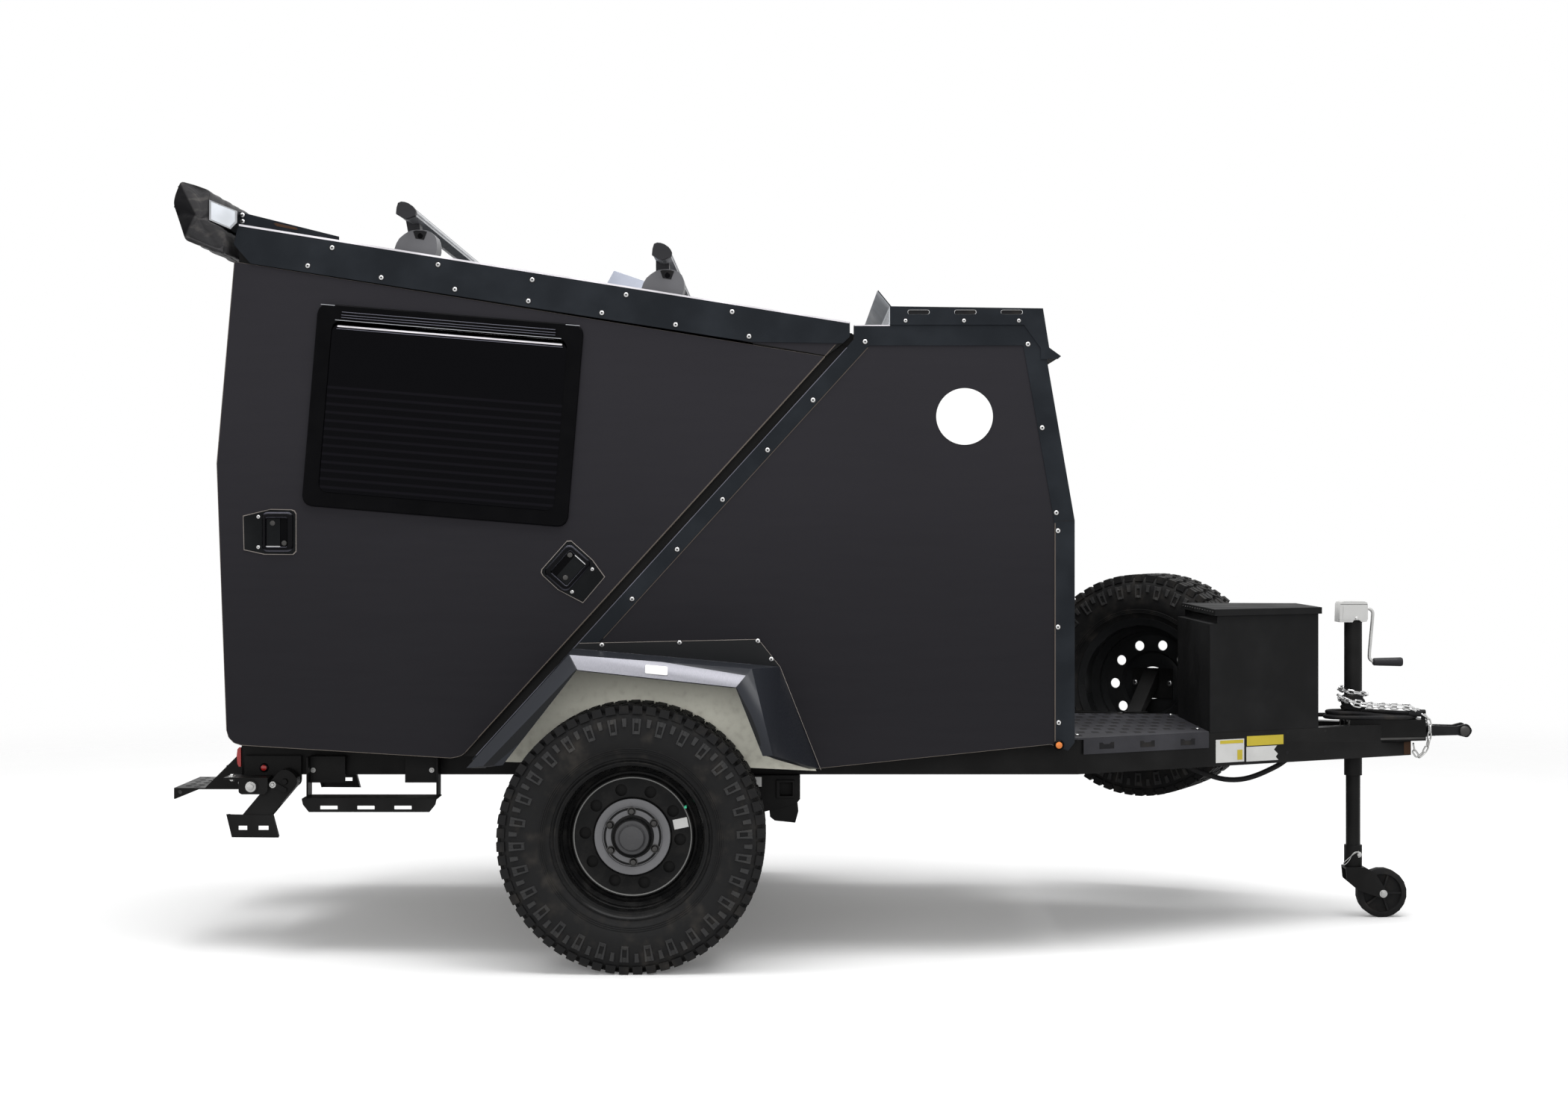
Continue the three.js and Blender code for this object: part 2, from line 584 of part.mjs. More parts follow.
// ---------------------------------------------------------------- rear stabilisers
const prop = {
  pivotX: -1010, pivotZ: rail.bottomZ - 13, y0: 600, y1: 650, pin: 8, lean: 40, halfWidth: 32,
};
const underRail = (down) => rail.bottomZ - down;
function stabiliserBracket() {
  const cheek = slabY([
    [-1139, underRail(-55)], [-1139, underRail(43), 10], [-1010, underRail(47), 20],
    [-975, underRail(25), 20], [-975, underRail(-55)],
  ], rail.outerY + SEAT, prop.y0 - 8);
  const ear = box(-1182, -1056, 560, 667, rail.bottomZ - 6, rail.bottomZ - SEAT);
  const housing = slabY([
    [-1139, underRail(5)], [-1139, underRail(43), 8], [-1130, underRail(48)],
    [-1065, underRail(48)], [-1056, underRail(39), 8], [-1056, underRail(5)],
  ], 661, 667);
  const boss = rodY(20, -1103, 666, 672, underRail(26), 16);
  const pin = rodY(prop.pin, prop.pivotX, rail.outerY + 5, prop.y1 + 8, prop.pivotZ, 12);
  return join(cheek, ear, housing, boss, pin);
}
addPair('stabiliser_bracket', stabiliserBracket(), finish.steel);

function stabiliserLeg() {
  const w = prop.halfWidth;
  const length = 190;
  const beam = slabY([[-w, -length], [-w, w, 26], [w, w, 26], [w, -length]], prop.y0, prop.y1);
  const channel = box(6 - w, w + 1, prop.y0 + 5, prop.y1 - 5, -length - 1, -60);
  const eye = rodY(prop.pin + 1, 0, prop.y0 - 1, prop.y1 + 1, 0, 12);
  const leg = cut(beam, channel, eye).rotateY(rad(prop.lean))
    .translate(prop.pivotX, 0, prop.pivotZ);
  const below = box(prop.pivotX - 400, prop.pivotX + 200, 0, 700, 0, underRail(120));
  const foot = slabY([
    [-1177, underRail(106)], [-1044, underRail(109)], [-1027, underRail(173)],
    [-1161, underRail(172)],
  ], 650, 654);
  const lip = (x0, x1) => slabY([
    [x0, underRail(107)], [x0 + 6, underRail(107)], [x1 + 6, underRail(171)],
    [x1, underRail(171)],
  ], 636, 654);
  const slots = [[-1142, -1117], [-1085, -1056]].map(([a, b]) =>
    box(a, b, 649, 655, underRail(151), underRail(139)));
  return join(cut(leg, below), cut(foot, ...slots), lip(-1175, -1159), lip(-1051, -1034));
}
addPair('stabiliser_leg', stabiliserLeg(), finish.steel);

// ---------------------------------------------------------------- rear step
const step = { rearX: -1371, nearY: 480, farY: 169, topZ: 455, lipZ: 423, sheet: 4 };
function rearStep() {
  const { rearX, nearY, farY, topZ, lipZ, sheet } = step;
  const frontX = rail.rearX - SEAT;
  const back = box(frontX - sheet, frontX, -nearY, nearY, topZ - sheet, 600);
  const oneSide = () => {
    const tread = box(rearX, frontX - 1, farY, nearY, topZ - sheet, topZ);
    const lip = box(rearX, rearX + sheet, farY, nearY, lipZ, topZ);
    const flange = slabY([
      [rearX, topZ], [rearX, lipZ + 3], [rearX + 4, lipZ], [rearX + 73, topZ - sheet],
      [rearX + 73, topZ],
    ], nearY - sheet, nearY);
    const gusset = slabY([
      [-1281, topZ - 1], [-1172, 563], [frontX - 1, 563], [frontX - 1, topZ - 1],
    ], nearY - sheet, nearY);
    const holes = [];
    for (const [x, start] of [[-1341, 0], [-1309, 28], [-1277, 0]]) {
      for (let k = 0; k < 5; k++) {
        holes.push(rodZ(11, x, farY + 34 + start + 56 * k, topZ - 5, topZ + 1, 6));
      }
    }
    const flangeHole = rodY(6, rearX + 17.5, nearY - 5, nearY + 1, 443, 8);
    return cut(join(tread, lip, flange, gusset), ...holes, flangeHole);
  };
  return join(back, oneSide(), mirrored(oneSide()));
}
add('rear_step', rearStep(), finish.steel);

// ---------------------------------------------------------------- roof equipment
const roofPitch = Math.atan(cabin.roofFall);
const onRoof = (geometry, x) => geometry.rotateY(roofPitch).translate(x, 0, roofTop(x) + SEAT + 0.5);
const bars = [['roof_bar_rear', -629, -19], ['roof_bar_front', 71, -8]]; // station, bar offset
const barReach = 845;
function roofBar(shift) {
  const foot = (y0, y1) => slabY([
    [-59, 0], [-54, 24], [-39, 46], [-19, 61], [0, 66], [23, 68], [36, 65], [48, 57], [56, 41],
    [60, 19], [58, 0],
  ], y0, y1);
  const section = (grow) => [
    [-26.5 - grow, 86], [-26 - grow, 118], [-18, 122 + grow], [2, 121 + grow], [15, 115 + grow],
    [26 + grow, 103], [26 + grow, 91], [2, 78 - grow],
  ].map(([x, z]) => [x + shift, z]);
  const cap = (y0, y1) => slabY(section(1), y0, y1);
  const bar = slabY(section(-2), -barReach + 5, barReach - 5);
  const neck = (y0, y1) => box(-24, 14, y0, y1, 55, 90);
  return join(bar, cap(barReach - 20, barReach), cap(-barReach, 20 - barReach),
    foot(620, 712), foot(-712, -620), neck(640, 690), neck(-690, -640));
}
for (const [name, x, shift] of bars) add(name, onRoof(roofBar(shift), x), finish.plastic);

function roofVent() {
  const flange = box(-90, 90, -190, 190, 0, 14);
  const cover = loft([
    [[-84, -180, 13], [84, -180, 13], [84, 180, 13], [-84, 180, 13]],
    [[-60, -150, 92], [66, -150, 70], [66, 150, 70], [-60, 150, 92]],
  ]);
  return join(flange, cover);
}
add('roof_vent', onRoof(roofVent(), -62), finish.grey);

function roofTray() {
  const z0 = wallTopZ + SEAT;
  const y1 = trimY.y1 + SEAT + 3;
  const y0 = y1 - 3;
  const rimZ = 1843;
  const base = box(716, 1152, -y1, y1, z0, z0 + 3);
  const cheek = [
    [716, z0], [716, rimZ], [1148, rimZ - 6], [1166, 1724], [1199, 1702], [1190, 1694],
    [1142, 1694], [1142, 1724], [1094, z0],
  ];
  const slots = [797, 929, 1060].map((x) => slabY([
    [x - 31, 1820, 6], [x - 31, 1833, 6], [x + 31, 1833, 6], [x + 31, 1820, 6],
  ], -y1 - 1, y1 + 1));
  const nose = slabY([
    [1144, rimZ - 6], [1148, rimZ - 6], [1166, 1724], [1162.5, 1724],
  ], -y1, y1);
  const visor = slabY([
    [1162.5, 1726], [1166, 1726], [1199, 1702], [1196.5, 1700], [1162.5, 1722],
  ], -y1, y1);
  const flap = slabY([
    [716, z0], [719, z0], [719, rimZ + 1], [683, 1888], [680.7, 1886], [716, rimZ],
  ], -y1, y1);
  return cut(join(base, slabY(cheek, y0, y1), slabY(cheek, -y1, -y0), nose, visor, flap), ...slots);
}
add('roof_tray', roofTray(), finish.trim);

// Awning: a soft bag on a rail that two arms hold at the rear edge of the roof.
const awning = { railX: -1199.5, reach: 760, armY: 700 };
function awningBag() {
  const { railX, reach } = awning;
  return slabY([
    [-1281, 2194, 12], [-1297, 2155, 12], [-1302, 2130], [-1268, 2025, 14], [-1232, 2012],
    [-1151, 1985], [-1154, 2059 - SEAT], [railX - SEAT, 2082 - SEAT], [railX - SEAT, 2141],
    [-1196, 2167], [-1238, 2184],
  ], -reach, reach);
}
add('awning_bag', awningBag(), finish.vinyl);

function awningMount() {
  const { railX, reach, armY } = awning;
  const armEnd = -845;
  const onTop = SEAT + 0.5;
  const arm = (y0, y1) => slabY([
    [-1150, 2119], [-1133, 2115], [armEnd, roofTop(armEnd) + 13],
    [armEnd, roofTop(armEnd) + onTop], [cabin.roofRearX, cabin.roofRearZ + onTop],
    [-1146, cabin.roofRearZ + 2],
  ], y0, y1);
  const back = slabY([
    [railX, 2083], [railX, 2141], [-1124, 2108], [-1153, 2060],
  ], -reach - 2, reach + 2);
  return join(back, arm(armY, armY + 6), arm(-armY - 6, -armY));
}
add('awning_mount', awningMount(), finish.steel);

// ---------------------------------------------------------------- coupler and hitch
const hitch = { z: railTop - 21, shank: 17, collar: 22, eyeX: rail.tipX + 156 };
function couplerChannel() {
  const { rearX, frontX, halfWidth, topZ, bottomZ, wall } = coupler;
  const skin = slabY([
    [rearX, topZ], [rearX, bottomZ + 22], [rearX + 26, bottomZ], [frontX, bottomZ + 5], [frontX, topZ],
  ], -halfWidth, halfWidth);
  const hollow = box(rearX - 1, frontX - 14, -halfWidth + wall, halfWidth - wall,
    bottomZ - 1, topZ - wall);
  const shankHole = rodX(flatRadius(hitch.shank + SEAT, 16), frontX - 20, frontX + 1, 0, hitch.z);
  const jackHole = rodZ(jack.tubeRadius + SEAT, jack.x, 0, bottomZ - 1, topZ + 1);
  return cut(join(skin, parkingSocket()), hollow, shankHole, jackHole);
}

function hitchYoke() {
  const front = coupler.frontX + SEAT;
  const back = coupler.frontX - 14 - SEAT;
  const shank = rodX(hitch.shank, back - 24, front + 30, 0, hitch.z);
  const nut = rodX(hitch.collar, back - 22, back, 0, hitch.z, 6);
  const collar = rodX(hitch.collar, front, front + 16, 0, hitch.z);
  const arm = (y0, y1) => slabY([
    [front + 14, hitch.z - 16], [front + 14, hitch.z + 16], [hitch.eyeX - 20, hitch.z + 14],
    [hitch.eyeX + 12, hitch.z + 22, 10], [hitch.eyeX + 28, hitch.z, 14],
    [hitch.eyeX + 12, hitch.z - 22, 10], [hitch.eyeX - 20, hitch.z - 14],
  ], y0, y1);
  const bridge = box(front + 12, front + 34, -34, 34, hitch.z - 16, hitch.z + 16);
  const pin = rodY(11, hitch.eyeX, -42, 42, hitch.z);
  return join(shank, nut, collar, bridge, arm(22, 34), arm(-34, -22), pin);
}
add('hitch_yoke', hitchYoke(), finish.steel);

// ---------------------------------------------------------------- jockey jack
const caster = { x: jack.x, wheelX: jack.x + jack.trail, topZ: 158 };
function jackBody() {
  const tube = rodZ(jack.tubeRadius, jack.x, 0, 443, jack.topZ, 16);
  const bore = rodZ(jack.legRadius + 0.7, jack.x, 0, 442, jack.topZ - 20, 16);
  const head = slabY([
    [jack.x - 50, 920], [jack.x - 47, 987, 8], [jack.x + 36, 987, 10], [jack.x + 38, 920, 10],
  ], -38, 38);
  const shaft = rodX(8, jack.x + 30, jack.x + 62, 0, 957);
  const crank = box(jack.x + 46, jack.x + 62, -8, 8, 795, 965);
  const grip = rodX(13, jack.x + 50, jack.x + 155, 0, 795);
  return join(cut(tube, bore), head, shaft, crank, grip);
}
add('jack_body', jackBody(), finish.zinc);
add('jack_leg', join(
  rodZ(jack.legRadius, jack.x, 0, caster.topZ + 5, 640, 16),
  rodZ(28, jack.x, 0, caster.topZ + SEAT, 225, 16),
), finish.steel);

function casterFork() {
  const wheelZ = jack.wheelRadius;
  const cheek = (y0, y1) => slabY([
    [caster.x - 30, caster.topZ], [caster.x + 30, caster.topZ, 10], [caster.x + 62, 140, 10],
    [caster.wheelX + 16, wheelZ, 12], [caster.wheelX - 6, wheelZ - 14, 10],
    [caster.x + 15, 84, 10], [caster.x - 26, 118, 10],
  ], y0, y1);
  const crown = box(caster.x - 30, caster.x + 30, -30, 30, caster.topZ - 6, caster.topZ);
  return join(crown, cheek(28, 33), cheek(-33, -28));
}
add('caster_fork', casterFork(), finish.steel);

function casterWheel() {
  const sides = 20;
  const r = flatRadius(jack.wheelRadius, sides);
  const half = 22;
  const face = [[0, 28 - SEAT], [14, 28 - SEAT], [16, 8], [58, 8], [60, half], [r, half - 5]];
  const disc = revolve([...face, ...face.map(([a, y]) => [a, -y]).reverse()], sides);
  const spokes = [];
  for (let k = 0; k < 5; k++) {
    spokes.push(box(12, 58, -half + 3, half - 3, -3, 3).rotateY(k * rad(72)));
  }
  return join(disc, ...spokes).translate(caster.wheelX, 0, jack.wheelRadius);
}
add('caster_wheel', casterWheel(), finish.rubber);

// ---------------------------------------------------------------- cords on the tongue
// A gas hose that sags under the drawbar, between two fittings, and a towing cable that lies
// coiled round the jack on top of the coupler.
const hose = {
  radius: 8, fitting: 14, fittingZ: railTop - 15,
  boxEnd: [rail.tipX - 380, -115], deckEnd: [rail.tipX - 796, -150],
};
// The hose's route as [behind the tip, y, under the rails' top].
const hoseSag = [
  [380, -115, 30], [381, -116, 45], [386, -118, 63], [396, -124, 81], [409, -132, 94],
  [425, -140, 104], [446, -146, 117], [475, -150, 131], [504, -150, 144], [536, -150, 155],
  [567, -150, 160.5], [597, -150, 161], [626, -150, 157], [656, -150, 148], [688, -150, 136],
  [722, -150, 121], [752, -150, 102], [776, -150, 80], [790, -150, 57], [795, -150, 39],
  [796, -150, 26],
];
const hoseRoute = [
  [...hose.boxEnd, hose.fittingZ - SEAT],
  ...hoseSag.map(([back, y, down]) => [rail.tipX - back, y, railTop - down]),
  [...hose.deckEnd, hose.fittingZ - SEAT],
];
const hoseFitting = ([x, y]) => rodZ(hose.fitting, x, y, hose.fittingZ, railTop + SEAT + 1, 12);
add('gas_hose', tubeAlong(hoseRoute, hose.radius, 22, 8), finish.rubber);

const cable = {
  radius: 6.5, bend: 45, rearX: rail.tipX - 218, frontX: rail.tipX - 48, glandR: 11,
};
const cableTurn = 2 * cable.radius + 0.4; // from one turn to the next, beside it or above it
const cableOuter = cable.bend + cableTurn;
const cableLowZ = coupler.topZ + SEAT + cable.radius;
const parking = { x0: coupler.frontX - 12, x1: coupler.frontX, y: -44, z: cableLowZ + cableTurn };
function cableCoil() {
  const oval = (reach) => outline([
    [cable.rearX - reach, -reach, reach], [cable.frontX + reach, -reach, reach],
    [cable.frontX + reach, reach, reach], [cable.rearX - reach, reach, reach],
  ], 4);
  const z0 = coupler.topZ + SEAT;
  const z1 = z0 + 2 * cableTurn;
  const r = cable.radius;
  const turns = cut(slabZ(oval(cableOuter + r), z0, z1),
    slabZ(oval(cable.bend - r), z0 - 1, z1 + 1));
  const fromGland = box(boxPlan.frontX + 14 + SEAT, cable.rearX, cableOuter - r, cableOuter + r,
    z0, z0 + 2 * r);
  const toParking = box(cable.frontX, parking.x0 - SEAT, -cableOuter - r, parking.y + r,
    z1 - 2 * r, z1);
  return join(turns, fromGland, toParking);
}
const cableGland = () => rodX(cable.glandR, boxPlan.frontX - 1, boxPlan.frontX + 14, cableOuter,
  cableLowZ, 12);
const parkingSocket = () => join(
  rodX(cable.glandR, parking.x0, parking.x1, parking.y, parking.z, 12),
  box(parking.x0 + 1, parking.x1 - 1, parking.y - 8, parking.y + 8, coupler.topZ - 1, parking.z),
);

// ---------------------------------------------------------------- tongue deck and storage box
const deckTop = railTop + SEAT + 5;
const rightEdge = (x, offset = 0) => -tongueEdgeY(x, offset);

function tongueDeck() {
  const x0 = cabin.frontX + 14;
  const x1 = boxPlan.rearX - 5;
  const plate = slabZ([
    [x0, rightEdge(x0, 8)], ...(kneeStation > x0 ? [[kneeStation, rightEdge(kneeStation, 8)]] : []),
    [x1, rightEdge(x1, 8)], [x1, 300], [x0, 330],
  ], railTop + SEAT, deckTop);
  const flangeX = Math.max(x0, knee.x + 24);
  const flange = slabZ([
    [flangeX, rightEdge(flangeX, 8)], [x1, rightEdge(x1, 8)],
    [x1, rightEdge(x1, 4)], [flangeX, rightEdge(flangeX, 4)],
  ], deckTop - 48, deckTop);
  return join(plate, flange, hoseFitting(hose.deckEnd));
}
add('tongue_deck', tongueDeck(), finish.steel);

const boxZ = { bottom: railTop + SEAT, ledge: 930, rim: 954, lidTop: 974 };
function boxRing(grow, rearShift = 0) {
  const x0 = boxPlan.rearX - grow + rearShift;
  const x1 = boxPlan.frontX + grow;
  return [
    [x0, rightEdge(x0, grow)], [x1, rightEdge(x1, grow)],
    [x1, boxPlan.farFrontY + grow], [x0, boxPlan.farRearY + grow],
  ];
}
function tongueBox() {
  const body = slabZ(boxRing(0), boxZ.bottom, boxZ.ledge);
  const collar = slabZ(boxRing(-0.01, 24), boxZ.ledge - 1, boxZ.lidTop - 3 - SEAT);
  const cavity = slabZ(boxRing(-boxPlan.wall, 24), boxZ.bottom + boxPlan.wall, boxZ.lidTop);
  return cut(join(body, collar, cableGland(), hoseFitting(hose.boxEnd)), cavity);
}
add('tongue_box', tongueBox(), finish.trim);
add('cable_coil', cableCoil(), finish.rubber);
add('coupler', couplerChannel(), finish.steel);

function tongueLid() {
  const top = slabZ(boxRing(10, 24), boxZ.lidTop - 3, boxZ.lidTop);
  const skirtOuter = slabZ(boxRing(10, 24), boxZ.rim, boxZ.lidTop - 2);
  const skirtInner = slabZ(boxRing(7, 24), boxZ.rim - 1, boxZ.lidTop - 3);
  return join(top, cut(skirtOuter, skirtInner));
}
add('tongue_box_lid', tongueLid(), finish.trim);

// ---------------------------------------------------------------- spare wheel
const spare = { x: rail.tipX - 738, beyondRail: 142.84, z: railTop + 90 };
spare.y = tongueEdgeY(spare.x) + spare.beyondRail;
const placeSpare = (geometry) =>
  geometry.rotateZ(-tongue).translate(spare.x, spare.y, spare.z);
add('spare_rim', placeSpare(rim(20, false, 2)), finish.steel);
add('spare_tyre', placeSpare(tyre(24)), finish.rubber);
function sparePost() {
  const footZ = railTop + SEAT - spare.z;
  const plate = box(-70, 70, 22, 27 - SEAT, -52, 50);
  const footing = box(-33, 33, -184, -118, footZ, footZ + 6);
  const stalk = slabY([
    [-172, footZ + 1], [-130, footZ + 1], [24, -4], [24, 44], [10, 44],
  ], -25, 25).rotateZ(Math.PI / 2);
  return placeSpare(join(plate, footing, stalk));
}
add('spare_post', sparePost(), finish.steel);

// ---------------------------------------------------------------- origin under the middle
const bounds = new THREE.Box3().setFromObject(trailer);
trailer.position.set(-(bounds.min.x + bounds.max.x) / 2, 0, -bounds.min.z);
trailer.updateMatrixWorld(true);

export default trailer;
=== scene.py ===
# %% [markdown]
# # Dressing a small off-road travel trailer
# The rigid trailer arrives as a packed frame of plain solids. This lesson gives each of them
# the finish of the real thing, and adds what a plain solid can't carry: tyre tread, screws,
# perforations, blinds, links and latches. Lengths are written in millimetres from the axle and
# turned into metres by one helper, because that is how a maker's drawing is dimensioned.

# %% Load the frame
import json
import math
import random

import bmesh
import bpy
from mathutils import Matrix, Vector

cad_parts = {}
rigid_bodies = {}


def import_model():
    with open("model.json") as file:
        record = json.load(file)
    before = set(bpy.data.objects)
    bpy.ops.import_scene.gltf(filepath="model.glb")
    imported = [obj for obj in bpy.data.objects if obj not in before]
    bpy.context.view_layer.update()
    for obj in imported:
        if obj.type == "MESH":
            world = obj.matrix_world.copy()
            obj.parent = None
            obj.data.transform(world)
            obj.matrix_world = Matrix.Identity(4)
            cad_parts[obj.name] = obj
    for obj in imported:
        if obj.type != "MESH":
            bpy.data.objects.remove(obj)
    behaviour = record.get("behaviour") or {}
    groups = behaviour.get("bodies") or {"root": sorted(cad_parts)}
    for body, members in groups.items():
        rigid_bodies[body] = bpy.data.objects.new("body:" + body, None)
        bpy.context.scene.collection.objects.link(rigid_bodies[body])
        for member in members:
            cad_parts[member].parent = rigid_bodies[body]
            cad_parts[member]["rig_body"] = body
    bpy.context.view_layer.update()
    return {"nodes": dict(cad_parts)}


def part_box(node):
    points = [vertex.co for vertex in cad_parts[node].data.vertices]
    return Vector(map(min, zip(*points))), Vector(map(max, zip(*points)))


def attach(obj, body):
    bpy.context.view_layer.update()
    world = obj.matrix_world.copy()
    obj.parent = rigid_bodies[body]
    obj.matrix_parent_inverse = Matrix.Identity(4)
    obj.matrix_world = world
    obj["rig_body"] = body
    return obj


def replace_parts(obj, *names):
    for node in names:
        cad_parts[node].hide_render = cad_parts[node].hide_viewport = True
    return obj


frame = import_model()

nodes = frame["nodes"]
body_of_node = {name: nodes[name]["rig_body"] for name in nodes}

# %% [markdown]
# ## Millimetres from the axle
# The wheel's own box tells where the axle is, so a change to the frame moves every piece that
# is made here with it. X runs forward, Y to the left and Z up; `SIDES` gives +1 for the left
# side and -1 for the right.

# %% Places
MM = 0.001
low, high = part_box("wheel_tyre_right")
AXLE_X = (low.x + high.x) / 2
WHEEL_Z = (low.z + high.z) / 2
TRACK_Y = abs(low.y + high.y) / 2
SIDES = {"left": 1, "right": -1}


def at(x, y, z):
    """A point in the frame, in metres, from millimetres measured at the axle."""
    return Vector((AXLE_X + x * MM, y * MM, z * MM))


print("axle at", round(AXLE_X, 4), "wheel centre height", round(WHEEL_Z, 4))

# %% [markdown]
# ## Camera, floor and light
# The portrait is a level, one-point view square to the right side, so the vertical lines stay
# vertical. A long lens keeps the tongue and the rear in proportion. The floor is a matt pale
# plane that fades into a white surround; one large overhead softbox and an even sky give the
# dark panels a gentle fall of light from roof to sill, which painted shade in the panels' colour
# deepens.

# %% Camera
camera_data = bpy.data.cameras.new("portrait_camera")
camera_data.lens = 54.857
camera_data.sensor_width = 36
camera_data.shift_x = -0.00476
camera_data.shift_y = -0.0229
camera_data.clip_end = 200
camera = bpy.data.objects.new("portrait_camera", camera_data)
camera.location = (AXLE_X + 0.438, -7.480, 1.228)
camera.rotation_euler = (math.radians(90), 0, 0)
bpy.context.scene.collection.objects.link(camera)
bpy.context.scene.camera = camera
bpy.context.scene.view_settings.view_transform = "Standard"
print("camera at", [round(v, 3) for v in camera.location], "lens", round(camera_data.lens, 2))

# %% [markdown]
# ## A small language for materials
# A material is easier to read as a formula than as a chart of nodes. `Wire` wraps a node's
# output and turns each operator into a Math node; `Bench` is the workbench that holds one
# material and makes every other node by one method.

# %% Shader arithmetic
class Wire:
    """A node's output that takes part in sums; each operator adds its Math node."""

    def __init__(self, bench, socket):
        self.bench, self.socket = bench, socket

    def math(self, operation, *others):
        return self.bench.node("ShaderNodeMath", {"operation": operation}, self, *others)

    def __add__(self, other):
        return self.math("ADD", other)

    def __sub__(self, other):
        return self.math("SUBTRACT", other)

    def __mul__(self, other):
        return self.math("MULTIPLY", other)

    def __gt__(self, other):
        return self.math("GREATER_THAN", other)

    def __lt__(self, other):
        return self.math("LESS_THAN", other)

    def __abs__(self):
        return self.math("ABSOLUTE")

    def also(self, name):
        """Another output of the same node."""
        return Wire(self.bench, self.socket.node.outputs[name])


print("each operator on a Wire makes one Math node")


# %% The workbench
class Bench:
    """One material and its nodes."""

    def __init__(self, name):
        self.material = bpy.data.materials.new(name)
        self.material.use_nodes = True
        self.tree = self.material.node_tree
        self.shader = self.tree.nodes["Principled BSDF"]
        self.place = self.node("ShaderNodeTexCoord").also("Object")
        parts = self.node("ShaderNodeSeparateXYZ", None, self.place)
        self.x, self.y, self.z = parts, parts.also("Y"), parts.also("Z")

    def node(self, kind, settings=None, *values, **named):
        """A node with its settings made first, then its sockets filled, in order or by name."""
        made = self.tree.nodes.new(kind)
        for key, value in (settings or {}).items():
            setattr(made, key, value)
        for socket, value in zip(made.inputs, values):
            self.plug(socket, value)
        for key, value in named.items():
            self.plug(made.inputs[key.replace("_", " ").title()], value)
        return Wire(self, made.outputs[0])

    def plug(self, socket, value):
        if isinstance(value, Wire):
            self.tree.links.new(value.socket, socket)
        else:
            socket.default_value = (*value, 1) if socket.type == "RGBA" else value

    def noise(self, scale, detail=3, stretch=(1, 1, 1), lean=(0, 0, 0)):
        """Cloudy noise on Object coordinates; scale counts blotches to the metre."""
        mapped = self.node("ShaderNodeMapping", None, self.place, Rotation=lean, Scale=stretch)
        return self.node("ShaderNodeTexNoise", None, Vector=mapped, Scale=scale, Detail=detail)

    def cells(self, scale):
        return self.node("ShaderNodeTexVoronoi", None, Vector=self.place, Scale=scale)

    def blend(self, share, first, second):
        """Colour mix: first where share is 0, second where it is 1."""
        made = self.tree.nodes.new("ShaderNodeMix")
        made.data_type = "RGBA"
        self.plug(made.inputs[0], share)
        self.plug(made.inputs[6], first)
        self.plug(made.inputs[7], second)
        return Wire(self, made.outputs[2])

    def fade(self, value, start, end, low=0.0, high=1.0):
        """A smooth change of value into low..high as it passes from start to end."""
        settings = {"interpolation_type": "SMOOTHSTEP"}
        made = self.node("ShaderNodeMapRange", settings, value)
        for key, number in (("From Min", start), ("From Max", end), ("To Min", low),
                            ("To Max", high)):
            made.socket.node.inputs[key].default_value = number
        return made

    def facing(self, axis):
        """How squarely the face looks along an axis of its own object, 0 to 1, so that a hatch
        keeps its finish when it opens."""
        normal = self.node("ShaderNodeTexCoord").also("Normal")
        return abs(self.node("ShaderNodeSeparateXYZ", None, normal).also(axis))

    def inside(self, value, start, end):
        """1 where value lies between start and end, else 0."""
        return (value > start) * (value < end)

    def finish(self, colour, roughness, metallic=0.0, bump=None, strength=0.3, reach=1.0,
               coat=0.0, coat_roughness=0.1, specular=0.5):
        self.plug(self.shader.inputs["Base Color"], colour)
        self.plug(self.shader.inputs["Roughness"], roughness)
        self.plug(self.shader.inputs["Metallic"], metallic)
        self.shader.inputs["Specular IOR Level"].default_value = specular
        self.shader.inputs["Coat Roughness"].default_value = coat_roughness
        self.plug(self.shader.inputs["Coat Weight"], coat)
        if bump is not None:
            bumped = self.node("ShaderNodeBump", None, Strength=strength, Distance=reach * MM,
                               Height=bump)
            self.plug(self.shader.inputs["Normal"], bumped)
        return self.material


print("tools on the bench:", [name for name in vars(Bench) if not name.startswith("_")])

# %% [markdown]
# ## The surround
# The floor keeps its real shading near the trailer, where the shadow falls, and turns
# transparent further out, so no horizon shows. Only the camera, reflections and clear panes
# see the white of the sky; the light that reaches the trailer stays at a plain level.

# %% Floor
floor_mesh = bpy.data.meshes.new("floor")
floor_mesh.from_pydata([(-30, -30, 0), (30, -30, 0), (30, 30, 0), (-30, 30, 0)], [],
                       [(0, 1, 2, 3)])
floor = bpy.data.objects.new("floor", floor_mesh)
bpy.context.scene.collection.objects.link(floor)

# the eye sees a paler floor than the light does, so little of it bounces up under the sills
LIFT_NEAR, LIFT_FAR = 0.08, 0.52  # white added for the eye, by the trailer and further out
paving = Bench("pale_floor")
seen = paving.node("ShaderNodeLightPath")
spread = paving.node("ShaderNodeVectorMath", {"operation": "LENGTH"},
                     paving.place).also("Value")
near = paving.fade(spread, 3.8, 1.6)
pale = paving.blend(paving.noise(3, 2), (0.46, 0.46, 0.46), (0.5, 0.5, 0.5))
paving.finish(paving.blend(seen * near, pale, (0.92, 0.92, 0.92)), 0.9)
lift = paving.node("ShaderNodeEmission", None, Color=(1, 1, 1),
                   Strength=seen * (near * (LIFT_NEAR - LIFT_FAR) + LIFT_FAR))
lit = paving.node("ShaderNodeAddShader", None, Wire(paving, paving.shader.outputs[0]), lift)
clear = paving.node("ShaderNodeBsdfTransparent")
open_floor = paving.node("ShaderNodeMixShader", None, paving.fade(spread, 4.0, 9.0), lit, clear)
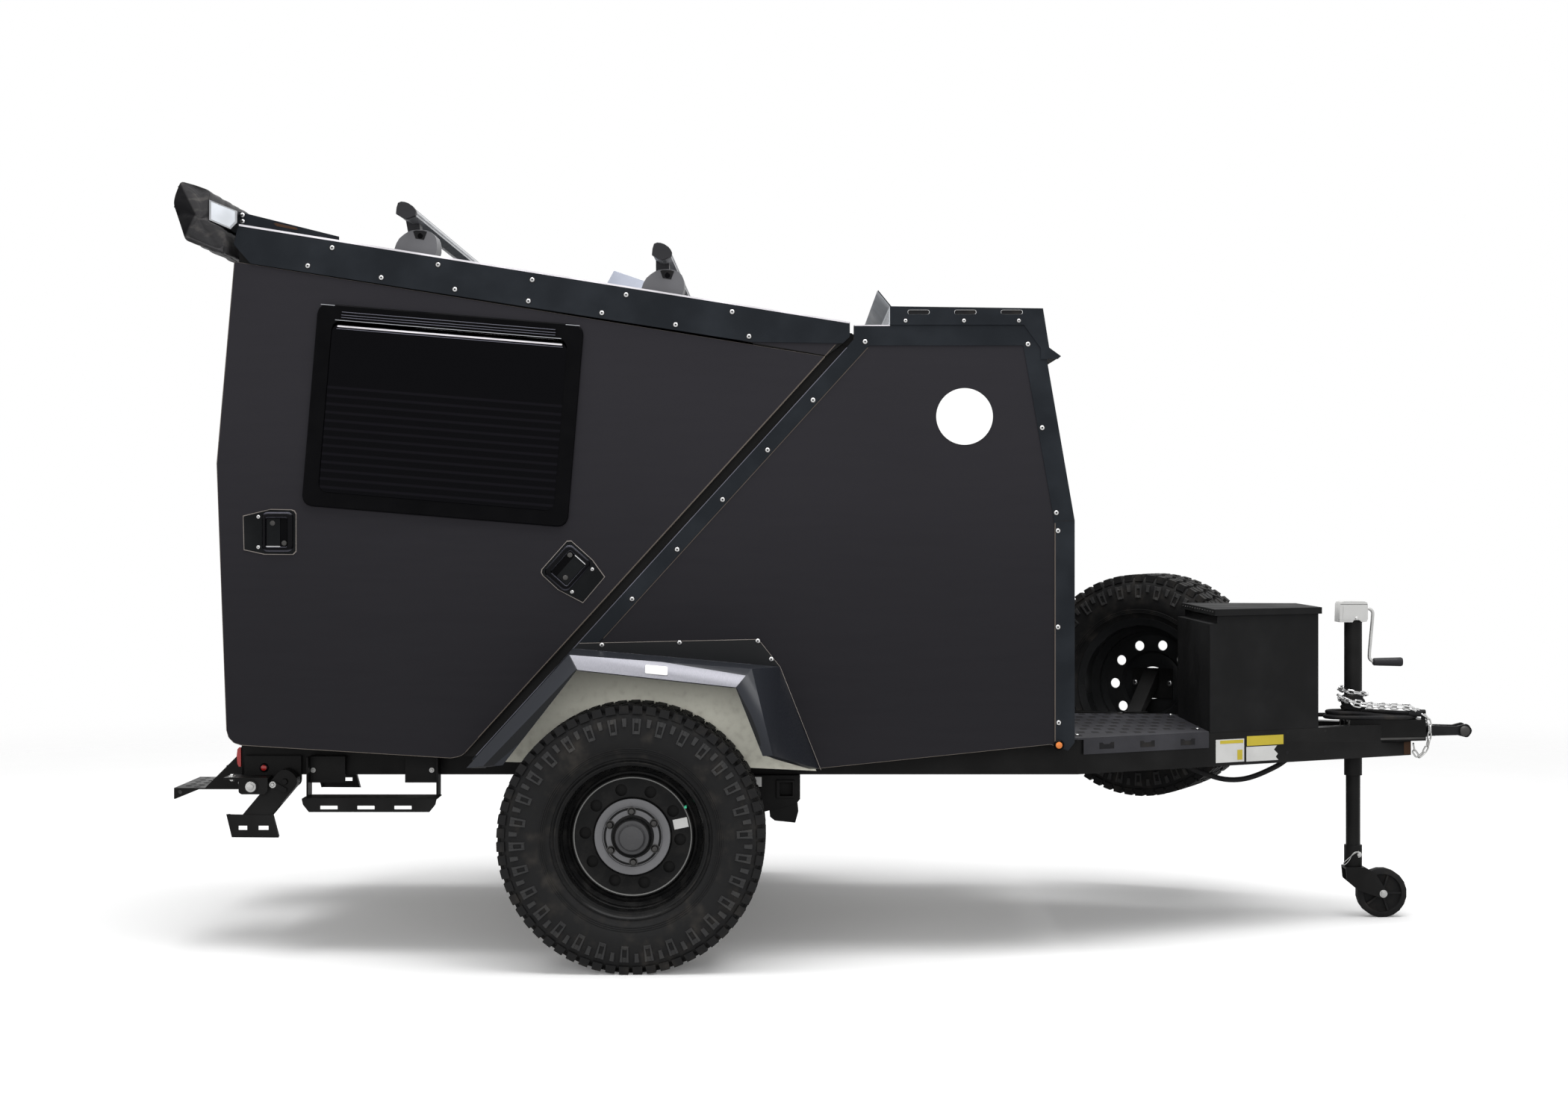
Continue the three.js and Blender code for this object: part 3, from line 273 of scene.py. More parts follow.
paving.tree.links.new(open_floor.socket, paving.tree.nodes["Material Output"].inputs["Surface"])
floor.data.materials.append(paving.material)
print("floor material:", len(paving.tree.nodes), "nodes")

# %% Sky and lamps
world = bpy.data.worlds.new("even_sky")
bpy.context.scene.world = world
world.use_nodes = True
sky = world.node_tree
path = sky.nodes.new("ShaderNodeLightPath")
seen_white = path.outputs["Is Camera Ray"]
for ray in ("Is Glossy Ray", "Is Transmission Ray"):
    either = sky.nodes.new("ShaderNodeMath")
    either.operation = "MAXIMUM"
    sky.links.new(seen_white, either.inputs[0])
    sky.links.new(path.outputs[ray], either.inputs[1])
    seen_white = either.outputs[0]
level = sky.nodes.new("ShaderNodeMapRange")
level.inputs["To Min"].default_value = 0.46
level.inputs["To Max"].default_value = 1.0
sky.links.new(seen_white, level.inputs["Value"])
sky.links.new(level.outputs["Result"], sky.nodes["Background"].inputs["Strength"])
sky.nodes["Background"].inputs["Color"].default_value = (1, 1, 1, 1)


def softbox(name, place, aim, size, power):
    """A rectangular area lamp at a place, turned towards a point."""
    lamp = bpy.data.lights.new(name, "AREA")
    lamp.shape, lamp.size, lamp.size_y, lamp.energy = "RECTANGLE", *size, power
    holder = bpy.data.objects.new(name, lamp)
    holder.location = place
    holder.rotation_euler = (Vector(aim) - Vector(place)).to_track_quat("-Z", "Y").to_euler()
    bpy.context.scene.collection.objects.link(holder)
    return holder


softbox("overhead", (-0.2, -0.6, 5.6), (0, 0, 0), (7, 5), 520)
fill = softbox("front_fill", (-0.8, -7.5, 2.3), (0, 0, 0.8), (7, 2.5), 230)
fill.visible_glossy = False
print("lamps:", len(bpy.data.lights))

# %% [markdown]
# ## Mesh helpers
# Shapes are built with bmesh in the frame's own place, so each finished object sits at the
# origin, unturned. `add_skin` joins rings of points, `add_prism` pushes a flat outline along Y,
# as sheet and board are cut, and `add_spun` turns a profile about the Y axis, as a wheel is.

# %% Making pieces
finishes = {}  # every material, by the plain name that the pieces call it


def piece(name, mesh, finish=None, body="trailer"):
    """A finished object that rides on a body; without a finish it keeps its mesh's own."""
    made = bpy.data.objects.new(name, mesh)
    bpy.context.scene.collection.objects.link(made)
    if finish:
        made.data.materials.clear()
        made.data.materials.append(finishes[finish])
    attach(made, body)
    return made


def mesh_of(bm, name, smooth=35):
    """Turns a bmesh into a mesh with faces outward and edges sharper than `smooth` degrees
    kept crisp."""
    bmesh.ops.remove_doubles(bm, verts=bm.verts, dist=1e-6)
    bmesh.ops.recalc_face_normals(bm, faces=bm.faces)
    for face in bm.faces:
        face.smooth = True
    for edge in bm.edges:
        sharp = edge.is_manifold and edge.calc_face_angle(0) > math.radians(smooth)
        edge.smooth = not (sharp or edge.seam)
        edge.seam = False
    mesh = bpy.data.meshes.new(name)
    bm.to_mesh(mesh)
    bm.free()
    return mesh


# %% Skins, prisms and turned shapes
def add_band(bm, first, second):
    """Faces between two rings of as many vertices."""
    for k in range(len(first)):
        n = (k + 1) % len(first)
        bm.faces.new((first[k], first[n], second[n], second[k]))


def add_skin(bm, rings, looped=False):
    """Joins rings of points; a looped skin closes on itself, any other is capped at its ends."""
    loops = [[bm.verts.new(point) for point in ring] for ring in rings]
    order = loops + loops[:1] if looped else loops
    for first, second in zip(order, order[1:]):
        add_band(bm, first, second)
    if not looped:
        bm.faces.new(loops[0][::-1])
        bm.faces.new(loops[-1])


def add_prism(bm, outline, y0, y1):
    """An outline of (x, z) points in frame metres, closed into a solid from y0 to y1."""
    add_skin(bm, [[(x, y, z) for x, z in outline] for y in (y0, y1)])


def add_spun(bm, profile, steps, closed=True):
    """A ring swept round the Y axis from (radius, y) pairs in millimetres."""
    rings = []
    for k in range(steps):
        turn = 2 * math.pi * k / steps
        rings.append([bm.verts.new((r * MM * math.cos(turn), y * MM, r * MM * math.sin(turn)))
                      for r, y in profile])
    count = len(profile)
    for k in range(steps):
        here, there = rings[k], rings[(k + 1) % steps]
        for j in range(count if closed else count - 1):
            n = (j + 1) % count
            if profile[j][0] == 0 and profile[n][0] == 0:
                continue
            bm.faces.new((here[j], there[j], there[n], here[n]))


def rounded(bm, width, segments=2):
    """Bevels every edge sharper than 30 degrees, so that edges catch the light. The flat faces
    are marked off with seams, and mesh_of shades them apart from the bevel."""
    edges = [e for e in bm.edges if e.is_manifold and e.calc_face_angle(0) > math.radians(30)]
    made = bmesh.ops.bevel(bm, geom=edges, offset=width * MM, offset_type="OFFSET",
                           segments=segments, profile=0.6, affect="EDGES", clamp_overlap=True)
    fresh = set(made["faces"])
    for face in fresh:
        for edge in face.edges:
            if any(other not in fresh for other in edge.link_faces):
                edge.seam = True


trial = bmesh.new()
add_prism(trial, [(0, 0), (1, 0), (1, 1), (0, 1)], 0, 1)
print("a prism on four points has", len(trial.faces), "faces and", len(trial.edges), "edges")
trial.free()

# %% [markdown]
# ## Finishes
# Each finish is one formula: a base colour with its real variation, a roughness that changes
# where hands, dust and wear have been, and a fine bump for the texture that the coating has.
# Some base colours also carry painted light and shade: a darker foot on the panels, bright
# bands and lines where edges catch the light, and dark patches for holes.

# %% Panels, coatings and metals
def cut_panel(name, axis):
    """Charcoal laminate on a sandwich board: a matt face along `axis`, raw brownish board at the
    cut edges. The face is painted darker towards the bottom, as painted shade where less light
    reaches the lower panel."""
    b = Bench(name)
    cloud = b.noise(1.6, 4)
    fine = b.noise(260, 2)
    wipe = b.noise(5, 3, stretch=(1, 1, 9), lean=(0, math.radians(35), 0))
    # painted shade: the face darkens towards the bottom, where less light reaches it
    low = b.fade(b.z, 1.7, 0.7) * 0.6
    face = b.blend(cloud * 0.7 + fine * 0.3, (0.0175, 0.0168, 0.0200), (0.0235, 0.0224, 0.0264))
    face = b.blend(low, face, (0.0095, 0.0091, 0.0108))
    raw = b.blend(b.noise(120, 3), (0.16, 0.138, 0.12), (0.27, 0.24, 0.21))
    edge = b.facing(axis) < 0.9
    return b.finish(b.blend(edge, face, raw), b.fade(wipe, 0.35, 0.7, 0.5, 0.62),
                    bump=fine, strength=0.12, reach=0.3, specular=0.1)


def powder(name, colour, roughness=0.42, peel=420, strength=0.2, metallic=0.0,
           specular=0.1):
    """Powder-coated sheet: orange peel, a little dust in the broad noise."""
    b = Bench(name)
    dust = b.noise(7, 4)
    peel_noise = b.noise(peel, 2)
    lighter = tuple(c * 1.5 + 0.004 for c in colour)
    return b.finish(b.blend(b.fade(dust, 0.35, 0.8), colour, lighter),
                    b.fade(dust, 0.3, 0.7, roughness - 0.05, roughness + 0.12), metallic,
                    bump=peel_noise, strength=strength, reach=0.25, specular=specular)


def bare_metal(name, colour, roughness, scratch=180, stretch=(1, 1, 14)):
    b = Bench(name)
    brush = b.noise(scratch, 3, stretch=stretch)
    stain = b.noise(14, 4)
    worn = tuple(c * 0.72 for c in colour)
    return b.finish(b.blend(b.fade(stain, 0.4, 0.75), colour, worn),
                    b.fade(brush, 0.3, 0.7, roughness - 0.08, roughness + 0.12), 1.0,
                    bump=brush, strength=0.08, reach=0.2)


def rubber(name, colour, dusty=(0.034, 0.031, 0.028), roughness=0.62):
    b = Bench(name)
    dust = b.noise(22, 5)
    pores = b.noise(700, 2)
    return b.finish(b.blend(b.fade(dust, 0.45, 0.85), colour, dusty),
                    b.fade(dust, 0.3, 0.8, roughness, roughness + 0.22), bump=pores,
                    strength=0.25, reach=0.3, specular=0.16)


def plastic(name, colour, roughness, grain=520, strength=0.12, coat=0.0, specular=0.25):
    b = Bench(name)
    pebble = b.cells(grain)
    haze = b.noise(16, 4)
    return b.finish(b.blend(haze, colour, tuple(c * 1.35 + 0.002 for c in colour)),
                    b.fade(haze, 0.3, 0.75, roughness, roughness + 0.1), bump=pebble,
                    strength=strength, reach=0.2, coat=coat, coat_roughness=0.05,
                    specular=specular)


# %% Finishes of single pieces
def hub_paint():
    """Black rim enamel with a satin grey ring round the hub, and a thin bright ring painted on the
    dish's ridge as a painted highlight; the rings are told by distance from the axle, read from the
    piece's own coordinates."""
    b = Bench("rim_enamel")
    dx, dz = b.x - AXLE_X, b.z - WHEEL_Z
    radius = (dx * dx + dz * dz).math("SQRT", 0.0)
    face = b.facing("Y") > 0.35
    grey = (b.inside(radius, 0.0795, 0.1045) + b.inside(radius, 0.0595, 0.0735)) * face
    # painted highlight: a thin bright ring on the dish's ridge, where it catches the light
    ridge_glint = b.inside(radius, 0.1604, 0.1636) * face
    dust = b.fade(b.noise(30, 4), 0.4, 0.8)
    black = b.blend(dust, (0.0055, 0.0056, 0.0058), (0.012, 0.0115, 0.011))
    dome = b.inside(radius, -0.01, 0.046) * 0.4
    colour = b.blend(ridge_glint, b.blend(grey + dome, black, (0.15, 0.15, 0.156)),
                     (0.17, 0.17, 0.165))
    return b.finish(colour, b.fade(dust, 0, 1, 0.24, 0.4), bump=b.noise(420, 2),
                    strength=0.1, reach=0.2, specular=0.12)


def arch_board():
    """Grey-green liner behind the wheel, splashed with road dust towards its foot. Its board colour
    is made far paler than the real board: painted light, standing in for light that reaches it
    under the fender.
    """
    b = Bench("arch_liner_board")
    splash = b.fade(b.noise(45, 5) - (b.z - 0.5) * 0.5, 0.35, 0.75)
    # painted light: the board colour is near white, far paler than the real grey-green board, so
    # the liner reads lit in the fender's shade
    board = b.blend(b.noise(90, 3), (0.78, 0.77, 0.66), (0.88, 0.87, 0.76))
    return b.finish(b.blend(splash * 0.35, board, (0.26, 0.22, 0.16)), 0.8, bump=b.noise(300, 2),
                    strength=0.25, reach=0.3)


def fender_coat():
    """Folded fender: a bright band along its sloping lip, painted bright as a painted reflection of
    the overhead light; blue-black sheet elsewhere, with faces square to the side painted darker as
    painted shade.
    """
    b = Bench("fender_sheet")
    brushed = b.noise(150, 3, stretch=(12, 1, 1))
    x, z = b.x - AXLE_X, b.z
    rear_mitre = x + (z - 0.8752) * 0.6 > -0.168
    front_mitre = x - (z - 0.8337) * 0.83 < 0.328
    # painted reflection: faces turned up and out, between the two mitres, take a bright metal
    # colour
    top = b.inside(b.facing("Z"), 0.3, 0.8) * (b.facing("Y") > 0.6) * rear_mitre * front_mitre
    # painted shade: faces square to the side, the flange and the fender's shaded inner side, are
    # darker than the sloping legs
    flange = b.facing("Y") > 0.985
    leg = b.blend(flange, (0.0155, 0.0172, 0.022), (0.0045, 0.005, 0.006))
    reflected_band = b.blend(b.fade(brushed, 0.3, 0.7), (0.19, 0.19, 0.215), (0.25, 0.25, 0.275))
    return b.finish(b.blend(top, leg, reflected_band), b.fade(brushed, 0.3, 0.7, 0.3, 0.45),
                    top * 0.35, bump=brushed, strength=0.08, reach=0.2, specular=0.25)


def bezel_gloss():
    """Black moulding whose upper slope is painted lighter, a painted highlight where its rounded
    rim catches the light.
    """
    b = Bench("latch_bezel")
    # painted highlight: faces that turn upward are coloured lighter
    rim = b.fade(b.facing("Z"), 0.35, 0.85)
    return b.finish(b.blend(rim, (0.0022, 0.0022, 0.003), (0.085, 0.085, 0.105)),
                    b.fade(b.noise(40, 2), 0.3, 0.7, 0.2, 0.32), bump=b.noise(500, 2),
                    strength=0.04, reach=0.2, specular=0.08)


def clear_lens(name, colour):
    """Moulded lens with fine ribs across it."""
    b = Bench(name)
    rib = (b.x * 1600).math("SINE", 0.0)
    return b.finish(b.blend(b.noise(60, 2), colour, tuple(c * 0.75 for c in colour)), 0.18,
                    bump=rib, strength=0.25, reach=0.3, coat=0.6)


# %% The table of finishes
finishes.update({
    "panel": cut_panel("charcoal_panel", "Y"),
    "end_panel": cut_panel("charcoal_end_panel", "X"),
    "trim": powder("blue_black_trim", (0.0095, 0.0115, 0.0145)),
    "steel": powder("black_frame_paint", (0.0065, 0.0064, 0.0064), 0.38, 300, 0.25),
    "deck": powder("deck_black_paint", (0.030, 0.030, 0.034), 0.45, 300, 0.25),
    "box": powder("box_powder_coat", (0.0082, 0.0083, 0.0086), 0.62, 900, 0.35),
    "zinc": bare_metal("dull_zinc", (0.62, 0.62, 0.61), 0.42),
    "bright": bare_metal("screw_steel", (0.72, 0.72, 0.72), 0.3),
    "forged": bare_metal("black_forged_steel", (0.028, 0.028, 0.029), 0.5),
    "dark_steel": bare_metal("dark_forged_steel", (0.09, 0.088, 0.086), 0.45),
    "tyre": rubber("tyre_rubber", (0.0105, 0.0105, 0.0108)),
    # painted light: the lug rubber is lighter than the carcass's, so the low lugs stand out as they
    # do in strong light; its mottling is real dust
    "lug": rubber("tyre_lug_rubber_painted_lighter", (0.032, 0.032, 0.0325), (0.060, 0.057, 0.053), 0.45),
    "gloss": plastic("gloss_black_moulding", (0.001, 0.001, 0.0014), 0.12, 80, 0.02, 0.0, 0.035),
    "black_plastic": plastic("textured_black_plastic", (0.014, 0.014, 0.016), 0.45),
    "foot_grey": plastic("satin_grey_plastic", (0.105, 0.105, 0.112), 0.4),
    "vent_grey": plastic("pale_grey_plastic", (0.21, 0.225, 0.27), 0.4),
    "board": plastic("raw_grey_board", (0.30, 0.28, 0.25), 0.7, 60, 0.2),
    "rim": hub_paint(),
    "arch": arch_board(),
    "fender": fender_coat(),
    "bezel": bezel_gloss(),
    "amber": clear_lens("amber_lens", (0.75, 0.20, 0.015)),
    "red": clear_lens("red_lens", (0.42, 0.012, 0.010)),
    "white": plastic("blank_white_sticker", (0.50, 0.50, 0.49), 0.4, 300, 0.03),
    "disc_white": plastic("blank_white_plate", (0.76, 0.76, 0.75), 0.4, 300, 0.03),
    "yellow": plastic("blank_yellow_sticker", (0.44, 0.35, 0.035), 0.4, 300, 0.03),
    "hose": rubber("smooth_hose_rubber", (0.013, 0.013, 0.014)),
    "bar_silver": bare_metal("anodised_bar", (0.42, 0.43, 0.45), 0.35, 160, (1, 14, 1)),
    "rail_plate": powder("pale_rail_plate", (0.55, 0.575, 0.61), 0.4, 500, 0.08),
    # a pale strip colour: on the roof it is partly the sheet's own pale edge and partly painted
    # highlight; on the pane's top edge it is a painted highlight
    "pale_edge": powder("pale_edge_and_painted_highlight", (0.62, 0.60, 0.63), 0.4, 500, 0.05),
    "rust": powder("rusty_end", (0.055, 0.030, 0.018), 0.75, 260, 0.5),
    # painted glints: bright metal lines along the window frame stand for the light its edges catch
    "bare": bare_metal("painted_glint_metal", (0.50, 0.51, 0.54), 0.32, 220, (14, 1, 1)),
    # black rubber for washers, strips and joints; as dark patches in slots and holes, and as the
    # screws' dark middles, it is painted shade
    "seal": rubber("black_seal_rubber", (0.010, 0.010, 0.011)),
    "raw_edge": plastic("raw_laminate_edge", (0.085, 0.070, 0.060), 0.7, 150, 0.15),
    # a pale edge line: partly a raw cut edge, partly a painted highlight along an edge that catches
    # the light
    "raw_line": powder("pale_cut_edge_and_highlight", (0.20, 0.18, 0.165), 0.5, 400, 0.05),
    # painted highlights: thin light lines where edges catch the light
    "lit_edge": powder("painted_highlight_edge", (0.11, 0.11, 0.135), 0.3, 400, 0.05),
    "lamp_white": plastic("white_reflector", (0.85, 0.85, 0.84), 0.2, 160, 0.1, 0.5),
    "latch": powder("latch_satin_black", (0.0045, 0.005, 0.0056), 0.35, 700, 0.15, 0.0, 0.06),
    "slat": plastic("blind_slat", (0.075, 0.077, 0.080), 0.55),
})
print("finishes:", sorted(finishes))


# %% [markdown]
# ## Cords on the tongue
# A gas hose sags under the drawbar between two fittings, and the towing cable lies coiled round
# the jack on top of the coupler. They come first of all pieces, because their room is settled
# in the frame. The hose follows a route of points; the cable's turns are an oval worked out by
# a rule: outside, inside, up one layer, and across in front of the jack to its parking socket.

# %% Cords and turned pieces
def smoothed(points, steps=3):
    """Points along a Catmull-Rom curve through a route."""
    route = [Vector(p) for p in points]
    padded = [2 * route[0] - route[1]] + route + [2 * route[-1] - route[-2]]
    result = []
    for a, b, c, d in zip(padded, padded[1:], padded[2:], padded[3:]):
        for k in range(steps):
            t = k / steps
            result.append(0.5 * ((2 * b) + (c - a) * t + (2 * a - 5 * b + 4 * c - d) * t ** 2
                                 + (3 * b - a - 3 * c + d) * t ** 3))
    return result + [route[-1]]


def path_length(points):
    return sum((b - a).length for a, b in zip(points, points[1:]))


def cord_piece(name, points, diameter, finish, sides=5, body="trailer"):
    """A round cord along frame points: one open spline with a real bevel and closed ends."""
    curve = bpy.data.curves.new(name, "CURVE")
    curve.dimensions = "3D"
    spline = curve.splines.new("POLY")
    spline.points.add(len(points) - 1)
    for target, point in zip(spline.points, points):
        target.co = (*point, 1)
    curve.bevel_depth, curve.bevel_resolution = diameter / 2, sides
    curve.use_fill_caps = True
    return piece(name, curve, finish, body)


def spun_piece(name, profile, centre, axis, finish, steps=32, body="trailer"):
    """A turned piece: (radius, along) pairs in millimetres, about `axis` through a point."""
    bm = bmesh.new()
    add_spun(bm, profile, steps, closed=False)
    mesh = mesh_of(bm, name)
    turn = Vector((0, 1, 0)).rotation_difference(Vector(axis)).to_matrix().to_4x4()
    mesh.transform(Matrix.Translation(centre) @ turn)
    return piece(name, mesh, finish, body)


def ease(value, start, end):
    """0 before start, 1 after end, smooth between."""
    t = min(max((value - start) / (end - start), 0), 1)
    return t * t * (3 - 2 * t)


print("a bend of three points is smoothed to", len(smoothed([(0, 0, 0), (1, 0, 0), (1, 1, 0)])))

# %% Gas hose
HOSE_D = 0.016
HOSE_ROUTE = [
    (1998, -115, 589.7), (1998, -115, 575), (1997, -116, 560), (1992, -118, 542),
    (1982, -124, 524), (1969, -132, 511), (1953, -140, 501), (1932, -146, 488),
    (1903, -150, 474), (1874, -150, 461), (1842, -150, 450), (1811, -150, 444.5),
    (1781, -150, 444), (1752, -150, 448), (1722, -150, 457), (1690, -150, 469),
    (1656, -150, 484), (1626, -150, 503), (1602, -150, 525), (1588, -150, 548),
    (1583, -150, 566), (1582, -150, 579), (1582, -150, 589.7),
]
hose_line = smoothed([at(*p) for p in HOSE_ROUTE], 2)
gas_hose = cord_piece("gas_hose_rubber", hose_line, HOSE_D, "hose")
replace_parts(gas_hose, "gas_hose")
round(path_length(hose_line), 3)
print("gas hose", round(path_length(hose_line), 3), "m")

# %% Towing cable
CABLE_R = 6.5  # millimetres
CABLE_PITCH = 2 * CABLE_R + 0.4  # from one turn to the next, beside it or above it
CABLE_INNER = 45  # radius of the inner turns' ends
CABLE_OUTER = CABLE_INNER + CABLE_PITCH
CABLE_REAR, CABLE_FRONT = 2160, 2330  # centres of the oval's round ends
CABLE_LOW = 620.3 + CABLE_R  # the lower turns lie just over the coupler's top face
CABLE_HIGH = CABLE_LOW + CABLE_PITCH
GLAND_X = 2064.3  # where the cable leaves the box's gland
SWEEP_X = 2220  # where the last sweep across starts
PLUG_X, PLUG_Y = 2397.7, -44  # the parked plug


def oval_point(reach, turn, z):
    """A point on an oval of that reach; each whole turn starts at the left rear, forward."""
    straight, bend = CABLE_FRONT - CABLE_REAR, math.pi * reach
    along = (turn % 1) * 2 * (straight + bend)
    if along < straight:
        return at(CABLE_REAR + along, reach, z)
    if along < straight + bend:
        angle = math.pi / 2 - (along - straight) / reach
        return at(CABLE_FRONT + reach * math.cos(angle), reach * math.sin(angle), z)
    if along < 2 * straight + bend:
        return at(CABLE_FRONT - (along - straight - bend), -reach, z)
    angle = -math.pi / 2 - (along - 2 * straight - bend) / reach
    return at(CABLE_REAR + reach * math.cos(angle), reach * math.sin(angle), z)


def cable_route():
    """From the gland, twice round, up on the near side, and forward to the socket."""
    route = [at(GLAND_X + 13.7 * k, CABLE_OUTER, CABLE_LOW) for k in range(7)]
    steps = 68
    for k in range(steps + 1):
        turn = 2 * k / steps
        reach = CABLE_OUTER - CABLE_PITCH * ease(turn, 0.78, 0.99)
        z = CABLE_LOW + CABLE_PITCH * ease(turn, 1.52, 1.74)
        route.append(oval_point(reach, turn, z))
    # then past the jack tube, and in one long sweep across to the near side
    route += [at(CABLE_REAR + 20 * k, CABLE_INNER, CABLE_HIGH) for k in (1, 2, 3)]
    for k in range(1, 11):
        t = k / 10
        y = CABLE_INNER + (PLUG_Y - CABLE_INNER) * t * t * (3 - 2 * t)
        route.append(at(SWEEP_X + (PLUG_X - 20 - SWEEP_X) * t, y, CABLE_HIGH))
    return route + [at(PLUG_X, PLUG_Y, CABLE_HIGH)]


cable_line = cable_route()
towing_cable = cord_piece("towing_cable", cable_line, 2 * CABLE_R * MM, "hose")
print("the cable's route has", len(cable_line), "points")

# %% Cable boots
# the tapered boots that keep the cable from kinking where it leaves the gland and meets the plug
boot = [(6.4, 0), (10.2, 0), (10.6, 3), (9.6, 6), (10.2, 9), (9.2, 12), (9.7, 15), (8.6, 18),
        (9.0, 21), (7.9, 24), (8.2, 27), (6.9, 31), (6.4, 31)]
rear_boot = spun_piece("cable_boot", boot, cable_line[0], (1, 0, 0), "hose")
plug_body = [(6.4, 0), (11, 0), (11.5, 2), (11.5, 16), (10, 18), (10, 24), (8.4, 40), (6.4, 41)]
plug = spun_piece("cable_plug", plug_body, cable_line[-1], (-1, 0, 0), "hose")
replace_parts(towing_cable, "cable_coil")
round(path_length(cable_line), 3)
print("towing cable", round(path_length(cable_line), 3), "m")

# %% [markdown]
# ## What repeats is grown, not copied by hand
# Tread, nuts, screws, slats, perforations and chain links each repeat one small shape by a
# rule. A Geometry Nodes tree states the rule once, with its sizes as named inputs: round an
# axle, along a row, at chosen points, or link after link along a route. The result is turned
# into a plain mesh at once, so the finished piece carries no modifier.

# %% A tree with named inputs
SOCKETS = {"int": "NodeSocketInt", "vector": "NodeSocketVector",
           "material": "NodeSocketMaterial", "object": "NodeSocketObject"}


class Tree:
    """A Geometry Nodes group: named inputs, nodes and links, and one geometry that comes out."""

    def __init__(self, name, **inputs):
        self.group = bpy.data.node_groups.new(name, "GeometryNodeTree")
        face = self.group.interface
        face.new_socket("Geometry", in_out="INPUT", socket_type="NodeSocketGeometry")
        self.keys = {key: face.new_socket(key, in_out="INPUT", socket_type=SOCKETS[kind]).identifier
                     for key, kind in inputs.items()}
        face.new_socket("Geometry", in_out="OUTPUT", socket_type="NodeSocketGeometry")
        self.source = self.group.nodes.new("NodeGroupInput")
        self.result = self.group.nodes.new("NodeGroupOutput")

    def given(self, key):
        return self.source.outputs[key]

    def node(self, kind, settings=None, **sockets):
        """A node with its settings made first, then its sockets filled: by name, or by place
        where the name is an underscore and a number."""
        made = self.group.nodes.new(kind)
        for key, value in (settings or {}).items():
            setattr(made, key, value)
        for key, value in sockets.items():
            socket = made.inputs[int(key[1:])] if key[1:].isdigit() else made.inputs[
                key.replace("_", " ").title()]
            if isinstance(value, bpy.types.NodeSocket):
                self.group.links.new(value, socket)
            else:
                socket.default_value = value
        return made.outputs[0]

    def math(self, operation, first, second):
        return self.node("ShaderNodeMath", {"operation": operation}, _0=first, _1=second)

    def close(self, instances):
        """Makes the instances real, gives them their material and sends them out."""
        real = self.node("GeometryNodeRealizeInstances", Geometry=instances)
        painted = self.node("GeometryNodeSetMaterial", Geometry=real,
                            Material=self.given("Finish"))
        self.group.links.new(painted, self.result.inputs[0])
        return self


print("kinds of input:", sorted(SOCKETS))

# %% Four rules
def around_axle():
    """The given shape, repeated evenly about the Y axis."""
    t = Tree("around_axle", Count="int", Finish="material")
    step = t.math("DIVIDE", 2 * math.pi, t.given("Count"))
    turn = t.math("MULTIPLY", t.node("GeometryNodeInputIndex"), step)
    euler = t.node("ShaderNodeCombineXYZ", Y=turn)
    points = t.node("GeometryNodePoints", Count=t.given("Count"))
    return t.close(t.node("GeometryNodeInstanceOnPoints", Points=points,
                          Instance=t.given("Geometry"), Rotation=euler))


def along_row():
    """The given shape, repeated at equal steps along a line."""
    t = Tree("along_row", Count="int", Step="vector", Finish="material")
    place = t.node("ShaderNodeVectorMath", {"operation": "SCALE"}, _0=t.given("Step"),
                   Scale=t.node("GeometryNodeInputIndex"))
    points = t.node("GeometryNodePoints", Count=t.given("Count"), Position=place)
    return t.close(t.node("GeometryNodeInstanceOnPoints", Points=points,
                          Instance=t.given("Geometry")))


def at_points():
    """A unit object at each vertex of the given mesh, all turned alike."""
    t = Tree("at_points", Unit="object", Turn="vector", Finish="material")
    unit = t.node("GeometryNodeObjectInfo", Object=t.given("Unit")).node.outputs["Geometry"]
    return t.close(t.node("GeometryNodeInstanceOnPoints", Points=t.given("Geometry"),
                          Instance=unit, Rotation=t.given("Turn")))


def links_along():
    """A unit object along the given edge path, every second one turned a quarter."""
    t = Tree("links_along", Unit="object", Count="int", Finish="material")
    curve = t.node("GeometryNodeMeshToCurve", Mesh=t.given("Geometry"))
    spaced = t.node("GeometryNodeCurveToPoints", {"mode": "COUNT"}, Curve=curve,
                    Count=t.given("Count"))
    odd = t.math("MODULO", t.node("GeometryNodeInputIndex"), 2.0)
    quarter = t.node("ShaderNodeCombineXYZ", Z=t.math("MULTIPLY", odd, math.pi / 2))
    turn = t.node("FunctionNodeRotateRotation", {"rotation_space": "LOCAL"},
                  _0=spaced.node.outputs["Rotation"], _1=quarter)
    unit = t.node("GeometryNodeObjectInfo", Object=t.given("Unit")).node.outputs["Geometry"]
    return t.close(t.node("GeometryNodeInstanceOnPoints", Points=spaced, Instance=unit,
                          Rotation=turn))


trees = {"around": around_axle(), "row": along_row(), "points": at_points(),
         "links": links_along()}
print("trees:", sorted(trees))


# %% Growing a mesh
def helper(name, mesh):
    """An object that only feeds a tree, and is removed once the mesh is grown."""
    made = bpy.data.objects.new(name, mesh)
    bpy.context.scene.collection.objects.link(made)
    return made


